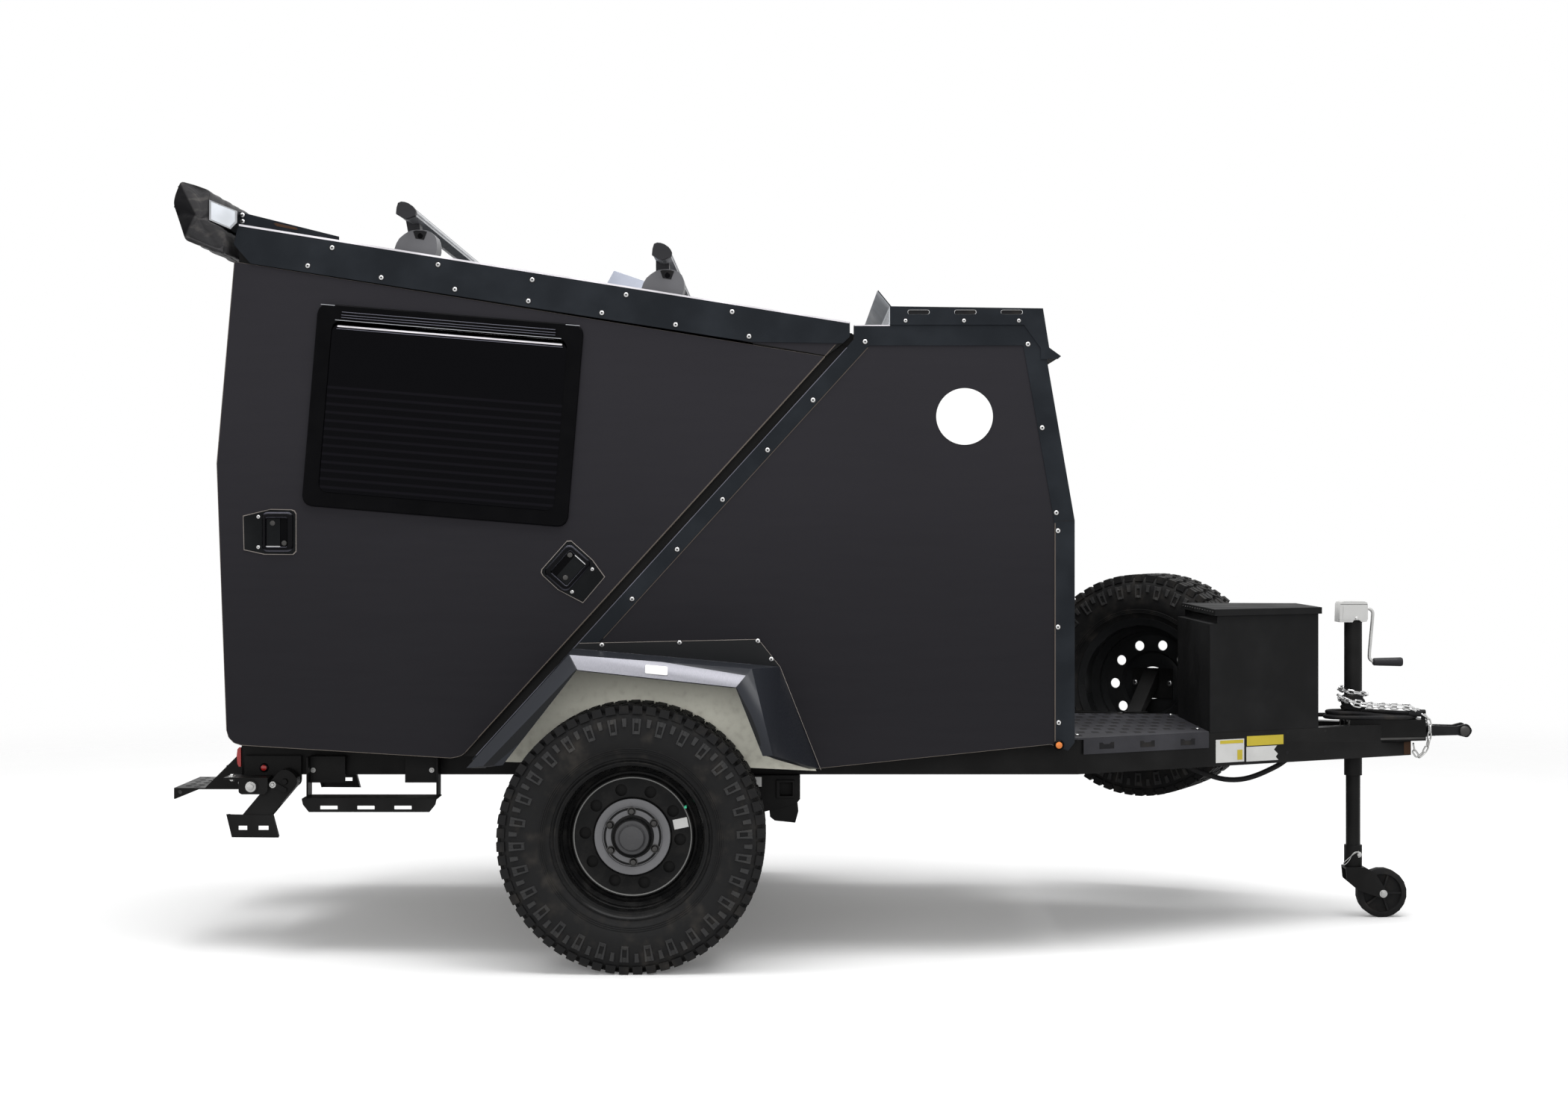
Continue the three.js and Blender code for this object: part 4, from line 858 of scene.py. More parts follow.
def grown(name, mesh, tree, finish, place=None, **inputs):
    """What a tree makes of a mesh, as a plain mesh; `place` moves it into the frame."""
    holder = helper(name + "_seed", mesh)
    modifier = holder.modifiers.new("grow", "NODES")
    modifier.node_group = trees[tree].group
    inputs["Finish"] = finishes[finish]
    for key, value in inputs.items():
        modifier[trees[tree].keys[key]] = value
    depsgraph = bpy.context.evaluated_depsgraph_get()
    result = bpy.data.meshes.new_from_object(holder.evaluated_get(depsgraph))
    holder.modifiers.clear()
    bpy.data.objects.remove(holder)
    result.name = name
    if place is not None:
        result.transform(place)
        if place.determinant() < 0:
            result.flip_normals()
    return result


def dots(name, points):
    """A mesh of bare points, for a tree to build on."""
    mesh = bpy.data.meshes.new(name)
    mesh.from_pydata([tuple(p) for p in points], [], [])
    return mesh


print("the points tree takes", sorted(trees["points"].keys))

# %% [markdown]
# ## Wheels
# A road tyre for rough ground is a smooth carcass with a tread of separate blocks. Spinning a
# fine profile gives the carcass; one 12-degree sector of tread is drawn and a tree repeats it
# thirty times. The steel rim is spun the same way, and its ten round vents are cut with a
# Boolean. The spare is the same wheel seen from its back, so both are made once, about the
# axle, and placed with a matrix.

# %% Tyre carcass
TYRE_STEPS = 120
outer_wall = [(205, 84), (208, 90), (216, 93), (224, 95.5), (231, 100), (238, 105.5),
              (239, 107.6), (241, 107.6), (242, 106.8), (244, 109.2), (246, 109.2),
              (247, 108.4), (249, 110.8), (251, 110.8), (252, 110), (262, 114.6), (276, 117.4),
              (290, 118.6), (306, 118.8), (320, 118), (332, 116), (341, 113), (348, 108),
              (353, 100), (356, 88)]
lining = [(219, 76), (300, 102), (334, 76)]
carcass_profile = (outer_wall + [(357, 40), (357, -40)]
                   + [(r, -y) for r, y in reversed(outer_wall)]
                   + [(r, -y) for r, y in lining] + [(r, y) for r, y in reversed(lining)])


def spun_mesh(name, profile, steps, closed=True, smooth=35):
    """A mesh turned about the Y axis from (radius, y) pairs in millimetres."""
    bm = bmesh.new()
    add_spun(bm, profile, steps, closed)
    return mesh_of(bm, name, smooth)


tyre_body = spun_mesh("carcass", carcass_profile, TYRE_STEPS, smooth=28)
print("carcass faces:", len(tyre_body.polygons))

# %% Tread blocks and lugs
SECTORS = 30
BLOCK_SPAN = 4.6  # degrees of the tyre that one tread block takes


def polar(radius, degrees, y=0.0):
    """A point on a circle round the Y axis, from millimetres and degrees, in metres."""
    angle = math.radians(degrees)
    return Vector((radius * math.cos(angle), y, radius * math.sin(angle))) * MM


def add_block(bm, base, crown, y0, y1, start, taper, skew):
    """A tread block between two radii and two widths across, from a start angle; its crown is
    `taper` degrees smaller round the tyre, and `skew` turns one side ahead."""
    corners = []
    for r, t, w in ((base, 0, 0), (crown, taper / 2, 1.2)):
        for y, shift in ((y0 + w, 0), (y1 - w, skew)):
            for a in (start + t + shift, start + BLOCK_SPAN - t + shift):
                corners.append(bm.verts.new(polar(r, a, y)))
    b00, b01, b10, b11, c00, c01, c10, c11 = corners
    for ring in ((c00, c01, c11, c10), (b00, b10, b11, b01), (b00, b01, c01, c00),
                 (b10, c10, c11, b11), (b00, c00, c10, b10), (b01, b11, c11, c01)):
        bm.faces.new(ring)


def add_side_lug(bm, r0, r1, w0, w1, middle, side, lift=5.6):
    """A low lug on the sidewall, w0 wide at its inner end and w1 at its outer end."""
    angle = math.radians(middle)
    along = Vector((math.cos(angle), 0, math.sin(angle)))
    across = Vector((-math.sin(angle), 0, math.cos(angle)))
    base, top = [], []
    for r, w, y in ((r0, w0, 118.2), (r1, w1, 116)):
        for sign in (-1, 1):
            point = along * r * MM + across * (sign * w / 2) * MM
            base.append(bm.verts.new(point + Vector((0, side * (y - 2) * MM, 0))))
            inner = along * (r + (2.2 if r == r0 else -1)) * MM + across * (
                sign * (w / 2 - 1.4)) * MM
            top.append(bm.verts.new(inner + Vector((0, side * (y + lift) * MM, 0))))
    for ring in ((top[0], top[1], top[3], top[2]), (base[0], base[1], top[1], top[0]),
                 (base[1], base[3], top[3], top[1]), (base[3], base[2], top[2], top[3]),
                 (base[2], base[0], top[0], top[2]), (base[0], base[2], base[3], base[1])):
        bm.faces.new(ring)


def tread_sector(lugs):
    """Twelve degrees of tread blocks, or of the lugs that run down on to the sidewall: two
    pitches, the far side half a pitch behind the near one."""
    bm = bmesh.new()
    for side, shift in ((1, 0), (-1, 3)):
        for pitch in (0, 6):
            start = shift + pitch
            middle = start + 3
            long = pitch == 0
            if not lugs:
                shoulder = 117 if long else 114
                for base, crown, inner, outer, ahead, taper, skew in (
                        (345, 366.4, 88, shoulder, 0.7, 0.7, 0.0),
                        (354, 366.8, 49, 82, 1.6, 0.6, 1.4 * side),
                        (354, 367, 6, 42, 0.3, 0.6, -1.8 * side)):
                    y0, y1 = sorted((side * inner, side * outer))
                    add_block(bm, base, crown, y0, y1, start + ahead, taper, skew)
            elif long:
                for offset in (-1.55, 1.55):
                    add_side_lug(bm, 288, 333, 5.5, 9, middle + offset, side)
                add_side_lug(bm, 288, 299, 17, 19, middle, side, 4.8)
                add_side_lug(bm, 318, 333, 20, 24, middle, side, 2.2)
            else:
                add_side_lug(bm, 308, 333, 12, 15, middle, side)
    bmesh.ops.recalc_face_normals(bm, faces=bm.faces)
    mesh = bpy.data.meshes.new("tread_sector")
    bm.to_mesh(mesh)
    bm.free()
    return mesh


tread = grown("tread", tread_sector(False), "around", "tyre", Count=SECTORS)
lugs = grown("lugs", tread_sector(True), "around", "lug", Count=SECTORS)
print("tread blocks:", len(tread.polygons) // 6, "lugs:", len(lugs.polygons) // 6)

# %% Rim with its vents
VENT_CIRCLE, VENT_R = 131, 16.5  # radius that the vents' centres lie on, and their own
STUD_CIRCLE = 69.85
rim_profile = [
    (0, 78), (29, 78), (32.5, 76.8), (34.5, 73), (35, 66), (38, 62), (49, 59.5), (52.4, 56),
    (53, 37), (56, 36), (79, 36), (80, 33.4), (82, 33.4), (83, 36.5), (86, 38.8), (98, 41.6),
    (103, 42), (105.4, 40.6), (109, 31), (113, 28.6), (150, 26.6), (160, 30), (163.5, 32.6),
    (166.5, 32.8), (169, 30), (173, 20), (178, 19), (186, 30), (190, 36.5), (193, 44),
    (194.2, 50), (197, 53), (198, 60), (198, 80), (201, 86), (206, 88.6), (210, 89),
    (212, 92), (217, 96.4), (221, 97), (222.4, 94.4), (221, 90), (212, 88), (204.5, 84),
    (203, 60), (203, 52), (182, 30), (182, -10), (203, -32), (203, -86), (212, -88),
    (221, -90), (222.4, -94), (220, -97), (213, -94), (197, -88), (197, -34), (175, -12),
    (175, 6), (160, 22), (108, 20), (100, 33), (84, 27), (58, 27), (58, -40), (0, -40),
]


def rim_mesh(profile, vent_phase, name):
    """The spun rim, cut by ten round vents."""
    body = helper(name + "_body", spun_mesh(name, profile, 96, profile[0][0] > 0))
    bm = bmesh.new()
    for k in range(10):
        place = Matrix.Translation(polar(VENT_CIRCLE, vent_phase + 36 * k, 28))
        bmesh.ops.create_cone(bm, cap_ends=True, segments=28, radius1=VENT_R * MM,
                              radius2=VENT_R * MM, depth=0.05,
                              matrix=place @ Matrix.Rotation(math.pi / 2, 4, "X"))
    cutter = helper(name + "_vents", bpy.data.meshes.new(name + "_vents"))
    bm.to_mesh(cutter.data)
    bm.free()
    boolean = body.modifiers.new("vents", "BOOLEAN")
    boolean.object, boolean.operation, boolean.solver = cutter, "DIFFERENCE", "EXACT"
    depsgraph = bpy.context.evaluated_depsgraph_get()
    mesh = bpy.data.meshes.new_from_object(body.evaluated_get(depsgraph))
    bpy.data.objects.remove(body)
    bpy.data.objects.remove(cutter)
    bm = bmesh.new()
    bm.from_mesh(mesh)
    return mesh_of(bm, name, 30)


road_rim = rim_mesh(rim_profile, -4, "road_rim")
spare_profile = [(54, 27), (54, 36)] + rim_profile[rim_profile.index((79, 36)):
                                                  rim_profile.index((58, 27))]
spare_rim_shape = rim_mesh(spare_profile, 2, "spare_rim_shape")
print("rim faces:", len(road_rim.polygons))


# %% Nuts, valve and blank sticker
def placed(mesh, matrix):
    """A copy of a mesh moved by a matrix, kept right side out when the matrix mirrors."""
    copy = mesh.copy()
    copy.transform(matrix)
    if matrix.determinant() < 0:
        copy.flip_normals()
    return copy


def sticker_mesh():
    """A blank label on the rim's dish, a little askew."""
    bm = bmesh.new()
    centre = polar(137, 15)
    along, across = polar(20, 12), polar(13.5, 102)
    corners = [centre + a * along + c * across for a, c in ((-1, -1), (1, -1), (1, 1), (-1, 1))]
    add_prism(bm, [(v.x, v.z) for v in corners], 0.0275, 0.0292)
    return mesh_of(bm, "sticker")


def tyre_piece(end, node, place, body):
    """A whole tyre at a place: carcass and tread as one piece, and its lugs as another."""
    bm = bmesh.new()
    for mesh in (tyre_body, tread):
        bm.from_mesh(placed(mesh, place))
    whole = bpy.data.meshes.new("tyre_" + end)
    bm.to_mesh(whole)
    bm.free()
    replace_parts(piece("tyre_" + end, whole, "tyre", body), node)
    piece("tyre_lugs_" + end, placed(lugs, place), "lug", body)


# a domed wheel nut: its dome, the round washer skirt and a threaded tip
nut = spun_mesh("nut", [(0, 55), (3.2, 54.6), (3.4, 51), (7, 50), (9.4, 46), (10.2, 40),
                        (10.2, 37), (12.4, 36.6), (12.4, 35), (0, 35)], 12, False, 30)
nut.transform(Matrix.Translation(polar(STUD_CIRCLE, 32)))
nuts = grown("nuts", nut, "around", "dark_steel", Count=6)
valve = spun_mesh("valve", [(0, 62), (3.4, 62), (4.2, 60), (4.2, 50), (3, 49), (3, 22),
                            (0, 22)], 14, False)
valve.transform(Matrix.Translation(polar(169, 29.7)))
drum = spun_mesh("drum", [(150, 8), (154, 4), (154, -34), (148, -38), (60, -38), (60, 8)], 48)
finishes["cap_green"] = plastic("green_valve_cap", (0.05, 0.42, 0.24), 0.35)
for side, sign in SIDES.items():
    place = Matrix.Translation((AXLE_X, sign * TRACK_Y, WHEEL_Z)) @ Matrix.Diagonal(
        (1, sign, 1, 1))
    body = body_of_node["wheel_tyre_" + side]
    tyre_piece(side, "wheel_tyre_" + side, place, body)
    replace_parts(piece("rim_" + side, placed(road_rim, place), "rim", body), "wheel_rim_" + side)
    for name, mesh, finish, carrier in (("wheel_nuts_", nuts, "dark_steel", body),
                                        ("brake_drum_", drum, "steel", "trailer"),
                                        ("valve_", valve, "cap_green", body),
                                        ("rim_sticker_", sticker_mesh(), "white", body)):
        piece(name + side, placed(mesh, place), finish, carrier)

print("wheels for", list(SIDES), "with", len(nuts.polygons), "faces of nuts each")

# %% Spare wheel, seen from its back
low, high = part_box("spare_tyre")
spare_centre = (Vector(low) + Vector(high)) / 2
RAIL_TURN = math.radians(27.5)  # slant of the drawbar's rails; the spare stands along one
spare_place = Matrix.Translation(spare_centre) @ Matrix.Rotation(-RAIL_TURN, 4, "Z")
tyre_piece("spare", "spare_tyre", spare_place, "trailer")
finishes["spare_rim"] = powder("spare_rim_enamel", (0.012, 0.0125, 0.013), 0.3, 300, 0.1)
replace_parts(piece("rim_spare", placed(spare_rim_shape, spare_place), "spare_rim"), "spare_rim")
print("spare at", [round(v, 3) for v in spare_centre])

# %% [markdown]
# ## Side panels: liner, screws, window, latches
# Each side is drawn once as seen from the right, in (x, z) millimetres, and a small helper puts
# it on both sides. The screws are one unit shape that a tree sets at every point of a table.

# %% Side helpers
WALL_Y = 730  # outer skin of the cabin
TRIM_Y = 733.3  # face of the flat trim
SKIRT_Y = 734.3  # face of the roof's folded edge
HATCH = "side_hatch_*"  # the hatches' bodies; a star in a body's name stands for the side


def side_plates(name, outline, y0, y1, finish, bevel=0.0, segments=2, body="trailer"):
    """A plate on each side, cut to an (x, z) outline between two distances from the centre."""
    made = {}
    for side, sign in SIDES.items():
        bm = bmesh.new()
        points = [(AXLE_X + x * MM, z * MM) for x, z in outline]
        add_prism(bm, points, sign * y0 * MM, sign * y1 * MM)
        if bevel:
            rounded(bm, bevel, segments)
        made[side] = piece(f"{name}_{side}", mesh_of(bm, name), finish, body.replace("*", side))
    return made


def spun_pairs(name, profile, x, y, z, finish, steps, body="trailer"):
    """A turned piece on both sides, its axis pointing outward."""
    for side, sign in SIDES.items():
        spun_piece(f"{name}_{side}", profile, at(x, sign * y, z), (0, sign, 0), finish, steps,
                   body.replace("*", side))


def round_oblong(cx, cz, w, h, r, steps=5):
    """A rounded rectangle's outline round (cx, cz), each corner in so many steps."""
    points = []
    for k, (sx, sz) in enumerate(((1, 1), (-1, 1), (-1, -1), (1, -1))):
        for j in range(steps + 1):
            angle = math.radians(90 * k + 90 * j / steps)
            points.append((cx + sx * (w / 2 - r) + r * math.cos(angle),
                           cz + sz * (h / 2 - r) + r * math.sin(angle)))
    return points


def circle(cx, cz, radius, count):
    """A round outline of so many points."""
    return [(cx + radius * math.cos(2 * math.pi * k / count),
             cz + radius * math.sin(2 * math.pi * k / count)) for k in range(count)]


def oblong(x0, z0, x1, z1):
    """An upright rectangle's outline."""
    return [(x0, z0), (x1, z0), (x1, z1), (x0, z1)]


def turned(points, cx, cz, degrees):
    """Local points turned clockwise by degrees and moved to (cx, cz)."""
    c, s = math.cos(math.radians(degrees)), math.sin(math.radians(degrees))
    return [(cx + x * c + z * s, cz - x * s + z * c) for x, z in points]


print("wall, trim and skirt lie", WALL_Y, TRIM_Y, SKIRT_Y, "mm out")


# %% Screws
def unit_screw(kind):
    """A button head about +Y at the origin: the steel head, or its black ring, whose black middle
    is painted shade for the recess.
    """
    bm = bmesh.new()
    if kind == "head":
        add_spun(bm, [(2.3, 0.4), (2.6, 2.6), (4.4, 2.5), (6.2, 1.7), (7.0, 0.5), (7.0, 0.2),
                      (2.3, 0.2)], 14)
    else:
        add_spun(bm, [(0, 0.9), (2.3, 0.9), (2.3, 0.1), (8.6, 0.3), (8.9, 0.0), (0, 0.0)], 14,
                 closed=False)
    return mesh_of(bm, "screw_" + kind)


screw_units = {kind: helper("unit_" + kind, unit_screw(kind)) for kind in ("head", "ring")}


def screw_set(name, points, place=None, turn=(0.0, 0.0, 0.0), body="trailer"):
    """Screws at points, turned alike and then moved; a star in the name stands for the part."""
    for kind, finish in (("head", "bright"), ("ring", "seal")):
        key = name.replace("*", kind)
        mesh = grown(key, dots(key, points), "points", finish, place, Unit=screw_units[kind],
                     Turn=turn)
        piece(key, mesh, None, body)


def screws(name, points, y, body="trailer", scale=1.0):
    """Button screws at (x, z) points on both sides' faces, heads outward."""
    spots = [at(x, 0, z) * (1 / scale) for x, z in points]
    for side, sign in SIDES.items():
        place = Matrix.Translation((0, sign * y * MM, 0)) @ Matrix.Diagonal(
            (scale, sign * scale, scale, 1))
        screw_set(f"{name}_*_{side}", spots, place, body=body.replace("*", side))


# %% Rows of screws
ROOF_REAR, ROOF_SLOPE = (-1124, 2075), 0.16  # the roof's rear top edge, and its fall
HATCH_FOOT, HATCH_SLOPE = (-467, 600), 1.1  # foot of the hatch's front edge, and its rise


def roof_line(x):
    """Height of the roof's top edge, which falls towards the front."""
    return ROOF_REAR[1] - ROOF_SLOPE * (x - ROOF_REAR[0])


def hatch_edge(z, offset=0.0):
    """Where the hatch's slanting front edge stands at a height."""
    return HATCH_FOOT[0] + (z - HATCH_FOOT[1]) / HATCH_SLOPE + offset


trim_screws = [(1106, 1736), (1146, 1500), (1186, 1260), (1190.5, 1209), (1190.5, 937),
               (1192.6, 667), (646, 1743)]
trim_screws += [(hatch_edge(z, 76.7), z) for z in (1578, 1437, 1297, 1156, 1016)]
skirt_screws = [(x, roof_line(x) - 24.5) for x in (-858.9, -560, -294, -28.9, 270.5)]
skirt_screws += [(x, roof_line(x) - 86.5)
                 for x in (-927.8, -720.2, -512.4, -304.9, -97.4, 110.7, 318)]
fender_screws = [(-97, 886.5), (122, 893), (343, 898), (381, 846.5)]
screws("trim_screws", trim_screws, TRIM_Y)
screws("skirt_screws", skirt_screws, SKIRT_Y)
screws("fender_screws", fender_screws, 737)
print("screws on each side:", len(trim_screws) + len(skirt_screws) + len(fender_screws))

# %% Arch liner, seam, edges and round plate
side_plates("arch_liner", [(-403, 557), (-132, 862), (404, 820), (508, 531), (305, 540.5)],
            WALL_Y + 0.3, WALL_Y + 1.3, "arch")
# the brownish raw edge of the laminate where it meets the strips, and a painted highlight on
# the gutter side of the slanting strip, a thin light line where its edge catches the light
for name, offset, width, z0, z1, y0, y1, finish, body in (
        ("slant_bead", 95, 3, 905, 1727, WALL_Y + 0.1, WALL_Y + 0.9, "raw_edge", "trailer"),
        ("hatch_bead", -4.2, 3, 625, 1735, WALL_Y + 0.1, WALL_Y + 0.9, "raw_edge", HATCH),
        ("strip_edge", 36, 2.6, 575, 1727, TRIM_Y - 1, TRIM_Y + 0.5, "lit_edge", "trailer")):
    side_plates(name, [(hatch_edge(z0, offset), z0), (hatch_edge(z0, offset + width), z0),
                       (hatch_edge(z1, offset + width), z1), (hatch_edge(z1, offset), z1)],
                y0, y1, finish, body=body)
side_plates("front_bead", oblong(1181, 602, 1184, 1231), WALL_Y + 0.1, TRIM_Y + 0.2, "raw_edge")
# the corner of the wall that closes the wedge between the hatch and the bent skirt
side_plates("wall_corner", [(300, 1745.5), (537.4, 1704.2), (567.5, 1738), (578, 1750),
                            (300, 1750)], WALL_Y - 3, WALL_Y, "panel")
# joint between the front strip's two lengths
side_plates("trim_joint", oblong(1184, 1236, 1237, 1238), TRIM_Y - 0.5, TRIM_Y + 0.25, "seal")
side_plates("round_plate", circle(927, 1532, 80, 64), WALL_Y + 0.1, WALL_Y + 1.1, "disc_white",
            0.3, 1)
for side, sign in SIDES.items():
    rim_line = [at(x, sign * 736.6, z) for x, z in (
        (-161, 891.4), (344.5, 902.6), (406, 825), (521, 534))]
    cord_piece("fender_rim_line_" + side, rim_line, 0.0017, "raw_line", 2)
    # the reflector lies on the fender's sloping band: 0.874 up for every 0.486 inward
    bm = bmesh.new()
    add_skin(bm, [[at(71 + x, sign * (987.5 - 0.486 * s + 0.874 * lift),
                      831.3 - 0.09 * x + 0.874 * s + 0.486 * lift)
                   for x, s in round_oblong(0, 0, 61 - 2 * lift, 26.5 - 2 * lift, 4, 4)]
                  for lift in (0.2, 2.2)])
    piece("fender_reflector_" + side, mesh_of(bm, "reflector"), "lamp_white")
print("the hatch's front edge ends", round(hatch_edge(1727)), "mm ahead of the axle")

# %% Window outline and smoked acrylic
WINDOW = {"x": -546, "z": 1535, "tilt": 4.75}  # its centre, and degrees nose down


def window_outline(w, h, r, dx=0.0, dz=0.0, steps=5):
    """A rounded rectangle in the tilted window's own axes."""
    points = [(x + dx, z + dz) for x, z in round_oblong(0, 0, w, h, r, steps)]
    return turned(points, WINDOW["x"], WINDOW["z"], WINDOW["tilt"])


def pane_material():
    """Smoked acrylic over a closed blind: faint slats in its lower two thirds."""
    b = Bench("smoked_pane")
    tilt = math.radians(WINDOW["tilt"])
    down = (b.z - WINDOW["z"] * MM) * math.cos(tilt) + (
        b.x - AXLE_X - WINDOW["x"] * MM) * math.sin(tilt)
    slat = (down * (2 * math.pi / 0.0235)).math("SINE", 0.0)
    zone = b.fade(down, 0.075, 0.055)
    shade = b.fade(slat, 0.2, 0.9) * zone
    colour = b.blend(shade, (0.0018, 0.0018, 0.0025), (0.0048, 0.0045, 0.0062))
    smear = b.noise(6, 4, stretch=(1, 1, 5), lean=(0, 0.6, 0))
    return b.finish(colour, b.fade(smear, 0.4, 0.8, 0.09, 0.2), bump=b.noise(9, 2),
                    strength=0.05, reach=0.4, specular=0.04)


# %% Pane and blind on each side
finishes["pane"] = pane_material()
panes = side_plates("acrylic_pane", window_outline(664, 474, 22, 2, -6), 726, 744, "pane", 6, 4,
                    HATCH)
for side, pane in panes.items():
    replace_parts(pane, "window_pane_" + side)
side_plates("hinge_profile", window_outline(608, 22, 4, -4, 258), 740, 748, "gloss", 3.5, 3,
            HATCH)
# painted highlights: thin pale and bright metal strips along the pane's top edge, the hinge
# profile's edges and the frame's recess stand for the glints that these edges catch
for name, finish, w, h, dx, dz, y in (
        ("pane_edge", "pale_edge", 636, 4.6, 2, 226, 744.6),
        ("pane_edge_low", "lit_edge", 640, 1.6, 2, 219, 744.4),
        ("hinge_line_top", "lit_edge", 604, 1.5, -4, 266.5, 748.3),
        ("hinge_line_mid", "lit_edge", 606, 1.4, -4, 258, 748.5),
        ("hinge_line_low", "lit_edge", 606, 1.4, -4, 251, 748.3),
        ("frame_line", "bare", 640, 1.6, -4, 243, 743.4),
        ("frame_line_rear", "bare", 40, 1.6, -348, 283.5, 742.8),
        ("frame_line_front", "bare", 40, 1.6, 345, 283.5, 742.8)):
    side_plates(name, window_outline(w, h, h * 0.45, dx, dz, 2), 741, y, finish,
                body=HATCH)

# the blind is one slat that a tree repeats down the pane
step_x, step_z = turned([(0, -23.5)], 0, 0, WINDOW["tilt"])[0]
first_x, first_z = turned([(0, 60)], 0, 0, WINDOW["tilt"])[0]
slat_outline = [(AXLE_X + x * MM, z * MM) for x, z in window_outline(600, 1.6, 0.7, 0, 0, 2)]
for side, sign in SIDES.items():
    bm = bmesh.new()
    add_prism(bm, slat_outline, sign * 0.700, sign * 0.722)
    slat = mesh_of(bm, "slat")
    slat.transform(Matrix.Translation((first_x * MM, 0, first_z * MM)))
    blind = grown("blind_" + side, slat, "row", "slat", Count=12,
                  Step=(step_x * MM, 0.0, step_z * MM))
    piece("blind_" + side, blind, None, HATCH.replace("*", side))
print("panes and blinds fitted")

# %% Paddle latches
LATCHES = {"rear": (-1036, 1206, 0), "front": (-177, 1089, 221.6)}
PLATE = [(-73.5, 43.8), (1, 62.6), (60, 61.4), (69, 58), (73.6, 49.9), (73.6, -54.2),
         (65, -62.7), (-13.6, -62.1), (-71, -49.4)]
for name, (cx, cz, turn) in LATCHES.items():
    def plates(part, outline, y0, y1, finish, *bevel):
        """A latch plate on both hatches, from an outline in the latch's own place."""
        side_plates(f"latch_{name}_{part}", turned(outline, cx, cz, turn), y0, y1, finish,
                    *bevel, body=HATCH)

    # a pale line round the plate: partly its raw cut edge, partly a painted highlight where the
    # edge catches the light
    plates("rim", [(x + math.copysign(2, x), z + math.copysign(2, z)) for x, z in PLATE],
           730.1, 731.6, "raw_line")
    plates("plate", PLATE, 730.2, 733, "latch", 0.8, 2)
    plates("paddle", round_oblong(11.5, -0.5, 38, 76, 2.5), 733.2, 736.6, "latch", 1.2, 2)
    plates("well", round_oblong(21, -1, 61, 83, 5), 732.9, 733.3, "gloss")
    plates("lip", round_oblong(10.5, -41, 41, 2.2, 0.8, 2), 733, 737.4, "bright")
    outer, inner = round_oblong(23.3, 0, 88, 112, 16), round_oblong(21, -1, 60, 82, 5)
    bezel = ((outer, 732.5), (outer, 735), (round_oblong(23.3, 0, 77, 100, 12), 740),
             (round_oblong(21, -1, 64, 86, 7), 740), (inner, 736), (inner, 732.5))
    for side, sign in SIDES.items():
        bm = bmesh.new()
        add_skin(bm, [[at(x, sign * y, z) for x, z in turned(outline, cx, cz, turn)]
                      for outline, y in bezel], looped=True)
        piece(f"latch_{name}_bezel_{side}", mesh_of(bm, "bezel", 60), "bezel",
              HATCH.replace("*", side))
    for part, spot in (("lock", (9.2, 24.4)), ("pin", (42.1, -31.8))):
        x, z = turned([spot], cx, cz, turn)[0]
        spun_pairs(f"latch_{name}_{part}", [(0, 4.6), (2.2, 4.8), (5.6, 4.8), (7.2, 4.0),
                                            (7.4, 0), (0, 0)],
                   x, 733.4, z, "dark_steel", 20, HATCH)
    screws(f"latch_{name}_screws", turned([(-31.5, 42.4), (-31.7, -43.3)], cx, cz, turn), 733,
           HATCH, 0.75)
print("latches:", list(LATCHES))

# %% [markdown]
# ## Roof: bright edge, bars, tray and vent
# The roof sheet's upper edge gets a pale strip, partly its own pale edge and partly a painted
# highlight. The load bars are extruded profiles with moulded feet and wing-shaped end caps, so each
# is a section pushed along Y, with the grooves drawn in the section itself. Everything on the
# sloping roof is drawn flat and turned with it.

# %% Bright edges
ROOF_TURN = math.degrees(math.atan(ROOF_SLOPE))


def on_roof(points, station):
    """Local (x, z) points set on the sloping roof at a station."""
    return turned(points, station, roof_line(station) + 0.8, ROOF_TURN)


# painted highlight: pale strips along the roof's upper edge and the front roof's edge, partly the
# sheet's own pale edge, partly the bright line where the edges catch the light
side_plates("roof_bright_edge", [(-1122, roof_line(-1122) - 5), (-1122, roof_line(-1122) + 0.6),
                                 (602, roof_line(602) + 0.6), (602, roof_line(602) - 4)],
            SKIRT_Y - 2, SKIRT_Y + 0.5, "pale_edge")
side_plates("front_bright_edge", oblong(616, 1787.6, 716, 1790.4), TRIM_Y - 1, TRIM_Y + 0.4,
            "pale_edge")

print("the roof falls by", round(ROOF_TURN, 2), "degrees")

# %% Load bars
FOOT = [(-59, 0), (-56, 18), (-50, 33), (-39, 46), (-29, 55), (-19, 61), (-6, 65), (8, 67.5),
        (23, 68), (36, 65), (48, 57), (54, 47), (58, 34), (60, 19), (58, 0)]
WING = [(-27, 87), (-28, 104), (-26, 118), (-18, 123), (-8, 123.6), (2, 122), (15, 116),
        (22, 110), (27, 103), (27.4, 96), (26, 91), (14, 84), (2, 77.5), (-12, 81)]
BAR = [(-25, 88), (-25.5, 96), (-23.4, 97), (-23.4, 99), (-25.6, 100), (-25, 115), (-18, 120),
       (-10, 120.8), (-9, 118.6), (-3, 118.4), (-2, 120.4), (4, 119.2), (15, 113), (25, 102.5),
       (24.6, 99.6), (22.6, 99), (22.6, 97), (24.8, 96), (24.6, 92), (2, 80), (-12, 83)]
BAR_TOP = [(-18, 120.7), (-10, 121.6), (-9, 119.7), (-3, 119.5), (-2, 121.2), (4, 120.1),
           (13, 115.1), (13, 114.1), (-18, 119.7)]
STRIP = [(-4, 40), (-14, 59), (-8, 62.6), (14, 65.6), (25, 64), (20, 40)]
BUTTON = [(0, 1.4), (6.4, 1.2), (7.6, 0.2), (7.6, -2), (0, -2)]


